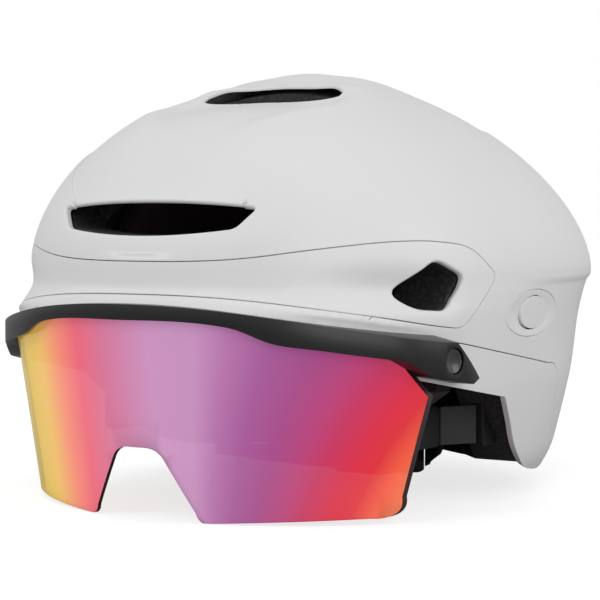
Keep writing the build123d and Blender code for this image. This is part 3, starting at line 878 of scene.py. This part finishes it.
@dataclass
class Dome:
    """A closed dome about a vertical axis: an arched crown over a skirt. Sizes in millimetres."""

    half_width: float
    front: float
    rear: float
    axis_y: float
    widest: float
    rise: float
    depth: float
    plan_powers: tuple[float, ...]
    crown_powers: tuple[float, ...]
    skirt_shares: tuple[tuple[Spot, ...], ...]
    softness: float = 0.12
    foot_share: float = 0.92

    def mixed(self, angle: np.ndarray, values: list) -> np.ndarray:
        """Blend of the front, side and rear values at an angle.

        Args:
            angle: the angle from the front.
            values: the three values.

        Returns:
            The blended values.
        """
        ahead = np.maximum(np.cos(angle), 0) ** 2
        behind = np.maximum(-np.cos(angle), 0) ** 2
        return ahead * values[0] + (1 - ahead - behind) * values[1] + behind * values[2]

    def arch(self, out: np.ndarray, power: float) -> np.ndarray:
        """Height share of the rounded arch.

        Args:
            out: the share of its half width.
            power: how square the arch is.

        Returns:
            The share of its height.
        """
        soft = self.softness ** power
        full = (1 + self.softness ** 2) ** (power / 2) - soft
        part = (out ** 2 + self.softness ** 2) ** (power / 2) - soft
        return np.maximum(0, 1 - part / full) ** (1 / power)

    def spots(self, angle: np.ndarray, polar: np.ndarray, inset: float = 0.0) -> np.ndarray:
        """Points of the surface.

        Args:
            angle: the angle from the front, towards the wearer's left.
            polar: 0 at the crown, a quarter turn at the widest level, a half turn at the foot.
            inset: how far the surface is moved inwards.

        Returns:
            Rows of x, y and z.
        """
        power = self.mixed(angle, list(self.plan_powers))
        length = np.where(np.cos(angle) > 0, self.front, self.rear) - inset
        across = np.abs(np.sin(angle) / (self.half_width - inset))
        plan = (across ** power + np.abs(np.cos(angle) / length) ** power) ** (-1 / power)
        crown = polar <= math.pi / 2
        out = np.sin(np.minimum(polar, math.pi / 2))
        height = (self.rise - inset) * self.mixed(angle, [self.arch(out, p) for p in self.crown_powers])
        below = (polar - math.pi / 2) / (math.pi / 2)
        drop_share = np.clip(below / self.foot_share, 0, 1)
        skirt = self.mixed(angle, [through(table, drop_share) for table in self.skirt_shares])
        foot = np.clip((1 - below) / (1 - self.foot_share), 0, 1)
        reach = plan * np.where(crown, out, skirt * foot)
        level = self.widest + np.where(crown, height, -self.depth * drop_share)
        return np.stack([reach * np.sin(angle), self.axis_y - reach * np.cos(angle), level], 1)

    def solid(
        self, name: str, inset: float, segments: int, rings: int, relief: Callable | None = None,
    ) -> bpy.types.Object:
        """Closed solid inside the surface.

        Args:
            name: the object's name.
            inset: how far the surface is moved inwards.
            segments: faces round the axis.
            rings: faces from the crown to the foot.
            relief: a function that gives each point's move along its normal and downwards.

        Returns:
            The solid.
        """
        bm = bmesh.new()
        bmesh.ops.create_uvsphere(bm, u_segments=segments, v_segments=rings, radius=1)
        place = np.array([vert.co[:] for vert in bm.verts])
        angle = np.arctan2(place[:, 0], -place[:, 1])
        polar = np.arccos(np.clip(place[:, 2], -1, 1))
        spots = self.spots(angle, polar, inset)
        if relief:
            tiny = 0.004
            ahead = self.spots(angle + tiny, polar, inset) - self.spots(angle - tiny, polar, inset)
            down = self.spots(angle, polar + tiny, inset) - self.spots(angle, polar - tiny, inset)
            normal = np.cross(down, ahead)
            size = np.linalg.norm(normal, axis=1, keepdims=True)
            normal = np.where(size > 1e-9, normal / np.maximum(size, 1e-9), [[0, 0, 1]])
            normal[polar < 0.02] = (0, 0, 1)
            inwards, sunk = relief(spots)
            spots = spots - normal * inwards[:, None]
            spots[:, 2] -= sunk
        for vert, spot in zip(bm.verts, spots * MM):
            vert.co = spot
        bmesh.ops.recalc_face_normals(bm, faces=bm.faces[:])
        return as_object(name, bm)


OUTER = Dome(
    104.2, 119.6, 146.4, -7.9, 91.0, 82.0, 95.0, (2.4, 2.28, 2.17), (2.1, 1.65, 1.68),
    (
        ((0, 1), (0.053, 1.005), (0.1, 1.03), (0.144, 1.06), (0.263, 1.065), (0.526, 1.06), (1, 1.06)),
        ((0, 1), (0.084, 1), (0.19, 0.99), (0.316, 0.975), (0.474, 0.955), (0.684, 0.915), (0.82, 0.88),
         (1, 0.78)),
        ((0, 1), (0.042, 0.995), (0.105, 0.965), (0.19, 0.94), (0.316, 0.92), (0.474, 0.885),
         (0.684, 0.845), (0.82, 0.81), (1, 0.72)),
    ),
)
HEAD = Dome(
    78.0, 98.0, 98.0, -16.0, 85.0, 59.0, 89.0, (2.1, 2.1, 2.1), (2.4, 2.4, 2.4),
    (
        ((0, 1), (0.5, 1), (1, 1)), ((0, 1), (0.35, 0.99), (0.65, 0.95), (1, 0.86)),
        ((0, 1), (0.3, 0.98), (0.6, 0.9), (1, 0.74)),
    ),
)
LENGTH, HEIGHT = 266.0, 173.0


def side_runs(*tables: tuple[Spot, ...]) -> Runs:
    """Runs in millimetres from shares of the shell's length and height."""
    return [[(along * LENGTH, up * HEIGHT) for along, up in table] for table in tables]


RIM_FRONT = ((-0.564, 0.448), (-0.489, 0.448), (-0.425, 0.428), (-0.342, 0.406))
BODY_RUNS = side_runs(
    RIM_FRONT,
    ((-0.342, 0.406), (-0.353, 0.382), (-0.338, 0.363)),
    ((-0.338, 0.363), (-0.289, 0.305)),
    ((-0.289, 0.305), (-0.202, 0.279), (-0.082, 0.247)),
    ((-0.082, 0.247), (-0.053, 0.191), (-0.019, 0.127), (0.03, 0.075), (0.105, 0.049), (0.173, 0.043)),
    ((0.173, 0.043), (0.226, 0.044), (0.282, 0.066), (0.35, 0.127), (0.421, 0.194), (0.602, 0.22)),
    ((0.602, 0.22), (0.602, 1.2)), ((0.602, 1.2), (-0.564, 1.2)), ((-0.564, 1.2), (-0.564, 0.448)),
)
BROW_TOP = (
    (-0.564, 0.549), (-0.476, 0.559), (-0.415, 0.582), (-0.367, 0.594), (-0.305, 0.602),
    (-0.242, 0.6), (-0.186, 0.584), (-0.154, 0.546),
)
BROW_LOW = (
    (-0.229, 0.412), (-0.27, 0.42), (-0.338, 0.438), (-0.426, 0.464), (-0.485, 0.487), (-0.564, 0.509),
)
BROW_RUNS = side_runs(
    BROW_TOP, ((-0.154, 0.546), (-0.141, 0.523), (-0.146, 0.503)), ((-0.146, 0.503), (-0.194, 0.434)),
    ((-0.194, 0.434), (-0.209, 0.416), (-0.229, 0.412)), BROW_LOW, ((-0.564, 0.509), (-0.564, 0.549)),
)
RIM_SIDE = ((-0.342, 0.406), (-0.252, 0.389), (-0.114, 0.353), (0.062, 0.311))
LOWER_RUNS = side_runs(
    RIM_SIDE, ((0.062, 0.311), (0.09, 0.302), (0.105, 0.277)),
    ((0.105, 0.277), (0.12, 0.216), (0.143, 0.139), (0.169, 0)),
    ((0.169, 0), (-0.414, 0)), ((-0.414, 0), (-0.414, 0.406)), ((-0.414, 0.406), (-0.342, 0.406)),
)
VENT = side_runs(((-0.321, 0.491), (-0.256, 0.563), (-0.205, 0.523), (-0.241, 0.451), (-0.295, 0.458)))[0]

def closed(spots: list[Spot]) -> Runs:
    """Straight runs round a closed row of points."""
    return [[a, b] for a, b in zip(spots, spots[1:] + spots[:1])]


def box_runs(low: Spot, high: Spot) -> Runs:
    """Straight runs round a rectangle between two corners."""
    return closed([low, (high[0], low[1]), high, (low[0], high[1])])


def both_sides(half: list[Spot]) -> list[Spot]:
    """A row of points up to the middle, and the same mirrored after it."""
    return half + [(-x, y) for x, y in reversed(half[:-1])]


def between(top: list[Spot], low: list[Spot]) -> Outline:
    """Closed outline of two rows, with straight ends."""
    return Outline([top, [top[-1], low[0]], low, [low[-1], top[0]]])
def rounded(
    corners: list[Spot], radius: float, steps: int = 5, only: tuple | None = None,
) -> Runs:
    """Runs of a polygon with rounded corners.

    Args:
        corners: the polygon's corners.
        radius: how far each rounding starts from its corner.
        steps: points on each rounding.
        only: the corners that are rounded, or none for all of them.

    Returns:
        Runs of two points each.
    """
    spots = []
    for before, here, after in zip(corners[-1:] + corners[:-1], corners, corners[1:] + corners[:1]):
        if only is not None and here not in only:
            spots.append(here)
            continue
        here_v = np.array(here)
        ends = []
        for other in (before, after):
            way = np.array(other) - here_v
            ends.append(here_v + way / np.linalg.norm(way) * radius)
        for t in np.linspace(0, 1, steps):
            spots.append(tuple(ends[0] * (1 - t) ** 2 + 2 * here_v * t * (1 - t) + ends[1] * t * t))
    return closed(spots)


def distance_to(spots: np.ndarray, outline: list[Spot]) -> np.ndarray:
    """Distance from each point to a closed outline, negative inside.

    Args:
        spots: rows of two coordinates.
        outline: the outline's points.

    Returns:
        One distance for each row.
    """
    best = np.full(len(spots), 1e9)
    inside = np.zeros(len(spots), bool)
    for a, b in zip(outline, outline[1:] + outline[:1]):
        a, b = np.array(a), np.array(b)
        way = b - a
        size = max(way @ way, 1e-12)
        t = np.clip((spots - a) @ way / size, 0, 1)
        best = np.minimum(best, np.linalg.norm(spots - a - t[:, None] * way, axis=1))
        crosses = (a[1] > spots[:, 1]) != (b[1] > spots[:, 1])
        if a[1] != b[1]:
            at = a[0] + (spots[:, 1] - a[1]) / (b[1] - a[1]) * way[0]
            inside ^= crosses & (spots[:, 0] < at)
    return np.where(inside, -best, best)


@dataclass
class ShellRelief:
    """Forms that the shell's surface carries: scoop, bead, dent, tail edge. Millimetres."""

    def scoop(self, spots: np.ndarray) -> np.ndarray:
        """Depth of the scoop before and behind the crown slot.

        Args:
            spots: rows of x, y and z.

        Returns:
            One depth for each row.
        """
        x, y, z = spots.T
        out = np.abs(x)
        wall = 17 + 24 * ease(y, -118, -48)
        across = 1 - ease(out - wall, -9, 5)
        ahead = (1.3 + (9.2 - 3.2 * (x / 29) ** 2) * ease(y, -104, -43)) * across
        behind = (4.6 - 1.6 * (x / 27) ** 2) * (1 - ease(out, 30, 40)) * (1 - ease(y, -29, -12))
        share = ease(y, -43, -29)
        return np.where(z > 100, ahead * (1 - share) + behind * share, 0)

    def ridge(self, spots: np.ndarray) -> np.ndarray:
        """Height of the soft shoulders behind the ends of the crown slot.

        Args:
            spots: rows of x, y and z.

        Returns:
            One height for each row.
        """
        x, y, z = spots.T
        across = np.exp(-(((np.abs(x) - 31) / 12) ** 2))
        return 2.6 * across * ease(y, -54, -37) * (1 - ease(y, -22, 25)) * (z > 100)

    def tail(self, spots: np.ndarray) -> np.ndarray:
        """Inward step under the tail's edge.

        Args:
            spots: rows of x, y and z.

        Returns:
            One step for each row.
        """
        _, y, z = spots.T
        below = 1 - ease(z, 85.4, 88.6)
        rear = ease(y, -30, 30)
        return 1.3 * below * rear * ease(z, 45, 70)

    def bead(self, spots: np.ndarray) -> np.ndarray:
        """Height of the bead along the brow's lower edge.

        Args:
            spots: rows of x, y and z.

        Returns:
            One height for each row.
        """
        _, y, z = spots.T
        low = np.interp(y, *zip(*[(a * LENGTH, b * HEIGHT) for a, b in RIM_FRONT + RIM_SIDE[1:]]))
        high = np.interp(y, *zip(*[(a * LENGTH, b * HEIGHT) for a, b in reversed(BROW_LOW)]))
        middle, half = (low * 0.35 + high * 0.65), (high - low) * 0.28
        share = np.clip(1 - ((z - middle) / np.maximum(half, 0.5)) ** 2, 0, 1)
        return 0.7 * share ** 2 * (1 - ease(y, -90, -64))

    def liner(self, spots: np.ndarray) -> tuple[np.ndarray, np.ndarray]:
        """Moves that the foam under the shell takes.

        Args:
            spots: rows of x, y and z.

        Returns:
            The move inwards and the move downwards.
        """
        x, _, z = spots.T
        return self.tail(spots) + 0.2, self.scoop(spots) + 1.0 * (np.abs(x) < 66) * (z > 112)

    def __call__(self, spots: np.ndarray) -> tuple[np.ndarray, np.ndarray]:
        """Moves of the shell's points.

        Args:
            spots: rows of x, y and z.

        Returns:
            The move inwards and the move downwards.
        """
        x, y, z = spots.T
        inwards = self.tail(spots) - self.bead(spots)
        dent = np.exp(-(((z - 86 + (y + 85) * 0.08) / 6.5) ** 2))
        dent = dent * ease(y, -116, -86) * (1 - ease(y, -66, -56))
        inwards += 2.6 * dent * (np.abs(x) > 40)
        return inwards, self.scoop(spots) - self.ridge(spots)


@dataclass
class Shell:
    """White shell panels, drawn over one surface. Sizes in millimetres."""

    wall: float = 2.5
    gap: float = 0.3
    lip: float = 1.1
    seam: float = 0.35
    step: float = 0.9
    crease_lip: float = 0.7
    crease_gap: float = 0.2
    dish_centre: Spot = (-6.0, 75.0)
    dish_size: Spot = (23.5, 9.4)
    dish_depth: float = 1.2
    cap_centre: Spot = (-5.0, 75.2)
    cap_size: Spot = (12.6, 6.7)
    slot_back: float = -95.0
    crown_slot_low: float = 85.0
    crease_low: float = 112.0
    middle: float = 0.5
    liner_lift: float = 2.6
    reach: float = 170.0
    top: float = 200.0
    segments: int = 256
    rings: int = 224

    def outlines(self) -> None:
        """Work out the outlines of the slots, the vents and the crease."""
        top = both_sides([(45.2, 116.5), (22.0, 118.3), (0.0, 118.8)])
        low = both_sides([(-38.9, 108.8), (-20.0, 106.8), (0.0, 106.1)])
        corners = (top[0], top[-1], low[0], low[-1])
        self.slot = Outline(rounded(between(top, low).points(), 2.3, 5, corners))
        self.crown_slot = between(
            both_sides([(33.0, -36.0), (27.0, -31.6), (14.0, -29.4), (0.0, -28.7)]),
            both_sides([(-33.0, -39.0), (-27.0, -42.6), (-13.0, -42.2), (0.0, -41.5)]),
        )
        self.vent = Outline(rounded(VENT, 4.0))
        crease = both_sides([
            (40.5, -114.0), (52.6, -101.0), (62.0, -77.0), (65.5, -46.5), (65.0, -14.0), (61.5, 20.0),
            (55.0, 48.0), (42.0, 80.0), (24.0, 106.0), (0.0, 119.0),
        ])
        self.crease = between(crease, [(crease[-1][0], -140.0), (crease[0][0], -140.0)])

    def surfaces(self, relief: ShellRelief) -> tuple[bpy.types.Object, ...]:
        """Build the whole surfaces that the panels are cut from.

        Args:
            relief: the shell's forms.

        Returns:
            The outer surface, the inlay's lower one, and the outer one with its dishes sunk.
        """
        made = []
        for name, inset in (("shell_base", 0.0), ("shell_base_low", self.step)):
            obj = OUTER.solid(name, inset, self.segments, self.rings, relief)
            for _ in range(3):
                obj.data.materials.append(WHITE_SHELL.build())
            smooth(obj, 180)
            made.append(obj)
        dished = copied(made[0], "shell_base_dish")
        self.sink_dish(dished)
        return *made, dished

    def side_tool(self, runs: Runs) -> bpy.types.Object:
        """Solid through the whole helmet, with an outline as its side view."""
        return Outline(runs).prism("side_tool", "YZ", -self.reach, self.reach)

    def panel(
        self, name: str, source: bpy.types.Object, keep: list, cut: list, node: str,
        wall: float | None = None,
    ) -> None:
        """Cut one white panel out of a surface.

        Args:
            name: the panel's name.
            source: the whole surface.
            keep: solids that the panel stays inside.
            cut: solids that are taken out of it.
            node: the CAD node that it replaces.
            wall: its wall in millimetres, or none for the usual one.
        """
        obj = copied(source, name)
        carve(obj, keep, cut)
        skin(obj, (wall or self.wall) * MM, self.rim_width, source)
        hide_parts(node)
        dress(obj, WHITE_SHELL)
        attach(obj, Body.HELMET.value)

    def build(self) -> None:
        """Build the shell's pieces and the foam under it."""
        self.outlines()
        relief = ShellRelief()
        base, low_base, dish_base = self.surfaces(relief)
        r, top = self.reach, self.top
        slot = self.slot.prism("slot_tool", "XZ", -r, self.slot_back)
        crown_slot = self.crown_slot.prism("crown_slot_tool", "XY", self.crown_slot_low, top)
        crease = self.crease.prism("crease_tool", "XY", self.crease_low, top)
        port = Outline(box_runs((-46, 62), (46, 84))).prism("port_tool", "XZ", 60, r)
        cap = self.oval(self.cap_centre, self.cap_size)
        dish = self.oval(self.dish_centre, self.dish_size)
        vent, body, brow, lower, cap_tool, dish_tool = map(
            self.side_tool, (self.vent.runs, BODY_RUNS, BROW_RUNS, LOWER_RUNS, cap.runs, dish.runs),
        )
        self.panel("shell_outer", base, [body], [brow, lower, crease, slot, port, dish_tool], "crown_shell")
        inlay = self.inner(self.crease.runs, self.crease_gap, "XY", self.crease_low)
        self.panel("shell_inlay", low_base, [inlay], [slot, crown_slot], "crown_shell", self.wall - self.step)
        self.panel("brow_panel_piece", base, [self.inner(BROW_RUNS, self.gap)], [vent], "brow_panel")
        lower_inner, cap_inner, dish_inner = (
            self.inner(runs, self.gap) for runs in (LOWER_RUNS, cap.runs, dish.runs)
        )
        for side, low, high in ((Side.LEFT, self.middle, r), (Side.RIGHT, -r, -self.middle)):
            name = side.name.lower()
            half = Outline(box_runs((low, -r), (high, r))).prism("half_tool", "XY", -20, top)
            for node, keep in (("lower_panel", [body, lower_inner, half]), ("side_cap", [cap_inner, half])):
                self.panel(f"{node}_{name}_piece", base, keep, [], f"{node}_{name}")
            dish_cut = [cap_tool, brow, lower]
            self.panel(f"side_dish_{name}", dish_base, [body, dish_inner, half], dish_cut, "crown_shell")
        self.foam(relief, [slot, crown_slot, port, vent])
        drop(*[o for o in bpy.data.objects if "_tool" in o.name or o.name.startswith("shell_base")])

    def oval(self, centre: Spot, size: Spot) -> Outline:
        """An oval in the side view, from its centre and its half length and height."""
        turns = np.linspace(0, FULL_TURN, 49)
        (y, z), (long, high) = centre, size
        return Outline([[(y + long * math.cos(a), z + high * math.sin(a)) for a in turns]])

    def sink_dish(self, obj: bpy.types.Object) -> None:
        """Sink the dishes round the side caps, deepest at the caps.

        Args:
            obj: a copy of the whole surface.
        """
        for vert in obj.data.vertices:
            x, y, z = np.array(vert.co) / MM
            along = (y - self.dish_centre[0]) / self.dish_size[0]
            up = (z - self.dish_centre[1]) / self.dish_size[1]
            share = 1 - ease(np.array(math.hypot(along, up)), 0.5, 1.0)
            vert.co.x -= math.copysign(self.dish_depth, x) * MM * float(share)

    def rim_width(self, place: Vector) -> float:
        """Rounding of a rim: wide at slots, vents and the lower edge, fine at seams.

        Args:
            place: a place on the rim, in metres.

        Returns:
            The rounding in metres.
        """
        x, y, z = np.array(place) / MM
        gaps = [
            distance_to(np.array([[y, z]]), self.vent.points())[0] if abs(x) > 40 else 9,
            distance_to(np.array([[x, z]]), self.slot.points())[0] if y < -90 else 9,
            distance_to(np.array([[x, y]]), self.crown_slot.points())[0] if z > 140 else 9,
        ]
        if min(abs(gap) for gap in gaps) < 1.2:
            return self.lip * MM
        crease = self.crease.points()
        from_crease = abs(distance_to(np.array([[x, y]]), crease)[0]) if z > self.crease_low else 9
        return (self.crease_lip if from_crease < 0.8 else self.seam) * MM

    def inner(
        self, runs: Runs, gap: float, axes: str = "YZ", low: float | None = None,
    ) -> bpy.types.Object:
        """A panel's tool drawn in by a gap.

        Args:
            runs: the panel's outline.
            gap: how far each side moves in.
            axes: the outline's two axes.
            low: where the tool starts along the third axis, up to the top, or none for its whole reach.

        Returns:
            A slightly smaller tool.
        """
        spots = Outline(runs).points()
        after = spots[1:] + spots[:1]
        turn = math.copysign(1, sum(a[0] * b[1] - b[0] * a[1] for a, b in zip(spots, after)))
        moved = []
        for last, here, following in zip(spots[-1:] + spots[:-1], spots, after):
            way = np.zeros(2)
            for a, b in ((last, here), (here, following)):
                size = max(math.dist(a, b), 1e-9)
                way += ((a[1] - b[1]) / size, (b[0] - a[0]) / size)
            shift = 2 * turn * gap / max(way @ way, 0.5)
            moved.append((here[0] + way[0] * shift, here[1] + way[1] * shift))
        start, end = (-self.reach, self.reach) if low is None else (low, self.top)
        return Outline(closed(moved)).prism("inner_tool", axes, start, end)

    def foam(self, relief: ShellRelief, openings: list[bpy.types.Object]) -> None:
        """Build the foam liner under the shell.

        Args:
            relief: the shell's forms.
            openings: tools of the slots, port and vents.
        """
        liner = OUTER.solid("liner_piece", 3.4, 160, 136, relief.liner)
        head = HEAD.solid("head_tool", 0.0, 128, 96)
        for obj in (liner, head):
            obj.data.materials.append(LINER_FOAM.build())
        body = self.side_tool([[(y, z + self.liner_lift) for y, z in row] for row in BODY_RUNS])
        channels = []
        for x in (-34, 0, 34):
            strip = Outline(box_runs((x - 6, -90), (x + 6, 70))).prism("channel_tool", "XY", 96, self.top)
            deep = HEAD.solid("deep_tool", -7.0, 96, 72)
            carve(deep, [strip], [])
            channels.append(deep)
        carve(liner, [body], [head, *openings, *channels])
        for polygon in liner.data.polygons:
            polygon.material_index = 0
        smooth(liner, 35)
        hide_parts("eps_liner")
        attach(liner, Body.HELMET.value)
        dress(liner, LINER_FOAM)


@dataclass
class Hardware:
    """Rigid pieces whose CAD shape stays, with rounded edges and their own finish."""

    pieces: tuple = (
        ("rear_vent_insert", VENT_PLASTIC, 0.4, Body.HELMET, "vent_plastic"),
        ("stem_guide", FIT_PLASTIC, 0.4, Body.HELMET, "fit_plastic"),
        ("strap_anchors", BUCKLE_BLACK, 0.4, Body.HELMET, "buckle_plastic"),
        ("buckle_female", BUCKLE_BLACK, 0.9, Body.HELMET, "buckle_plastic"),
        ("buckle_male", BUCKLE_BLACK, 0.9, Body.TONGUE, "buckle_plastic"),
        ("shield_frame", FRAME_BLACK, 0.7, Body.SHIELD, "frame_black"),
        ("nape_cradle", FIT_PLASTIC, 0.5, Body.CRADLE, "fit_plastic"),
        ("dial_housing", FIT_PLASTIC, 0.8, Body.CRADLE, "fit_plastic"),
        ("fit_dial", DIAL_RUBBER, 0.25, Body.DIAL, "dial_rubber"),
        ("height_stem", FIT_PLASTIC, 0.4, Body.STEM, "fit_plastic"),
    )
    pairs: tuple = (
        ("temple_plate", FIT_PLASTIC, 0.4, Body.HELMET, "fit_plastic"),
        ("strap_divider", BUCKLE_BLACK, 0.5, Body.HELMET, "buckle_plastic"),
        ("frame_cover", COVER_GREY, 0.35, Body.SHIELD, "cover_grey"),
        ("fit_arm", FIT_PLASTIC, 0.5, Body.CRADLE, "fit_plastic"),
        ("fit_lace", LACE_CORD, 0.3, Body.CRADLE, "lace_cord"),
    )
    sunk_pair: str = "frame_cover"

    def build(self) -> None:
        """Round and dress each piece, and dress the nodes that stay as they are."""
        for node, finish, width, body, slot in self.pieces:
            softened(node, finish, width, body)
        for pair, finish, width, body, slot in self.pairs:
            for side in Side:
                sunk = side if pair == self.sunk_pair else None
                softened(f"{pair}_{side.name.lower()}", finish, width, body, sunk)
        for node in ("shell_magnets", "frame_magnets"):
            dress(frame["nodes"][node], MAGNET_STEEL)
        self.lens()

    def lens(self) -> None:
        """Build the lens, its cut edge darker than its faces."""
        lens = copied(frame["nodes"]["shield_lens"], "shield_lens_piece")
        lens.data.materials.clear()
        for finish in (LENS_TINT_AND_PAINTED_GLOW, LENS_EDGE):
            lens.data.materials.append(finish.build())
        with edited(lens) as bm:
            bmesh.ops.remove_doubles(bm, verts=bm.verts[:], dist=WELD)
            bmesh.ops.recalc_face_normals(bm, faces=bm.faces[:])
            sheets = sorted(smooth_regions(bm, 30), key=lambda faces: sum(face.calc_area() for face in faces))
            for faces in sheets[:-2]:
                for face in faces:
                    face.material_index = 1
        smooth(lens, 30)
        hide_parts("shield_lens")
        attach(lens, Body.SHIELD.value)


@dataclass
class SoftGoods:
    """Pads and straps."""

    pads: tuple[str, ...] = (
        "brow_pad", "crown_pad_left", "crown_pad_right", "side_pad_left", "side_pad_right",
        "nape_pad_left", "nape_pad_right",
    )
    straps: tuple[str, ...] = (
        "front_strap_left", "front_strap_right", "rear_strap_left", "rear_strap_right",
        "chin_strap_left", "chin_strap_right", "strap_keeper",
    )
    crossing: str = "chin_strap_right"

    def build(self) -> None:
        """Build the pads and the straps; the strap that the buckle's tongue pulls rides on no body and has
        its place baked into its mesh.
        """
        for node in self.pads:
            body = Body.CRADLE if node.startswith("nape") else Body.HELMET
            pad = copied(frame["nodes"][node], f"{node}_piece")
            step = pad.modifiers.new("remesh", "REMESH")
            step.mode, step.voxel_size = "VOXEL", 0.0014
            step = pad.modifiers.new("round", "SMOOTH")
            step.factor, step.iterations = 0.5, 6
            settled(pad)
            smooth(pad, 80)
            dress(pad, PAD_KNIT)
            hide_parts(node)
            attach(pad, body.value)
        for node in self.straps:
            crosses = node == self.crossing
            strap = softened(node, WEBBING, 0.25, None if crosses else Body.HELMET)
            if crosses:
                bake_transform(strap)


@dataclass
class Studio:
    """Pale floor, soft light and the camera at the photograph's angle."""

    azimuth: float = 33.0
    elevation: float = 2.5
    distance: float = 0.85
    target: tuple[float, float, float] = (0.0, -0.0163, 0.078)
    lens: float = 122.4

    def camera(self) -> None:
        """Set the camera."""
        a, e = math.radians(self.azimuth), math.radians(self.elevation)
        back = Vector((math.sin(a) * math.cos(e), -math.cos(a) * math.cos(e), math.sin(e)))
        right = Vector((math.cos(a), math.sin(a), 0))
        up = back.cross(right)
        data = bpy.data.cameras.new("camera")
        data.lens, data.sensor_width = self.lens, 36
        obj = bpy.data.objects.new("camera", data)
        turn = Matrix((right, up, back)).transposed().to_4x4()
        obj.matrix_world = Matrix.Translation(Vector(self.target) + back * self.distance) @ turn
        bpy.context.scene.collection.objects.link(obj)
        bpy.context.scene.camera = obj

    def light(self, name: str, place: tuple, size: float, power: float) -> None:
        """Add a soft light that faces the helmet.

        Args:
            name: its name.
            place: where it hangs.
            size: its width.
            power: its power in watts.
        """
        data = bpy.data.lights.new(name, "AREA")
        data.size, data.energy = size, power
        obj = bpy.data.objects.new(name, data)
        obj.location = place
        way = Vector(self.target) - Vector(place)
        obj.rotation_euler = way.to_track_quat("-Z", "Y").to_euler()
        bpy.context.scene.collection.objects.link(obj)

    def world(self) -> None:
        """White to the camera, and a soft grey to everything else."""
        world = bpy.data.worlds.new("studio")
        bpy.context.scene.world = world
        world.use_nodes = True
        tree = world.node_tree
        camera_ray = tree.nodes.new("ShaderNodeLightPath").outputs["Is Camera Ray"]
        mix = add_node(tree, "ShaderNodeMix", data_type="FLOAT", Factor=camera_ray, A=0.62, B=1.0)
        feed(tree.nodes["Background"], Color=(1, 1, 1, 1), Strength=mix.outputs["Result"])

    def floor(self) -> None:
        """A large pale floor that keeps the helmet's shadow."""
        bm = bmesh.new()
        bmesh.ops.create_grid(bm, x_segments=1, y_segments=1, size=6)
        obj = as_object("floor", bm)
        for vert in obj.data.vertices:
            vert.co.z = -0.0002
        dress(obj, FLOOR_WHITE)

    def build(self) -> None:
        """Set up the camera, the lights and the floor."""
        self.camera()
        self.world()
        self.floor()
        self.light("key", (-0.5, -1.2, 0.9), 0.8, 4.4)
        self.light("fill_right", (1.2, -0.9, 0.35), 1.0, 5.5)
        self.light("rim_right", (1.3, 0.3, 0.6), 0.8, 3.5)
        self.light("edge_left", (-1.1, -0.7, 0.7), 0.4, 1.3)
        bpy.context.scene.view_settings.view_transform = "Standard"


def main() -> None:
    """Build the studio and the helmet."""
    for part in (Studio(), Shell(), Hardware(), SoftGoods()):
        part.build()
        LOG.info("built %s", type(part).__name__)
    for obj in bpy.context.scene.objects:
        if obj.type == "MESH":
            LOG.info("%s: %d faces", obj.name, len(obj.data.polygons))


if __name__ == "__main__":
    logging.basicConfig(level=logging.INFO)
    main()
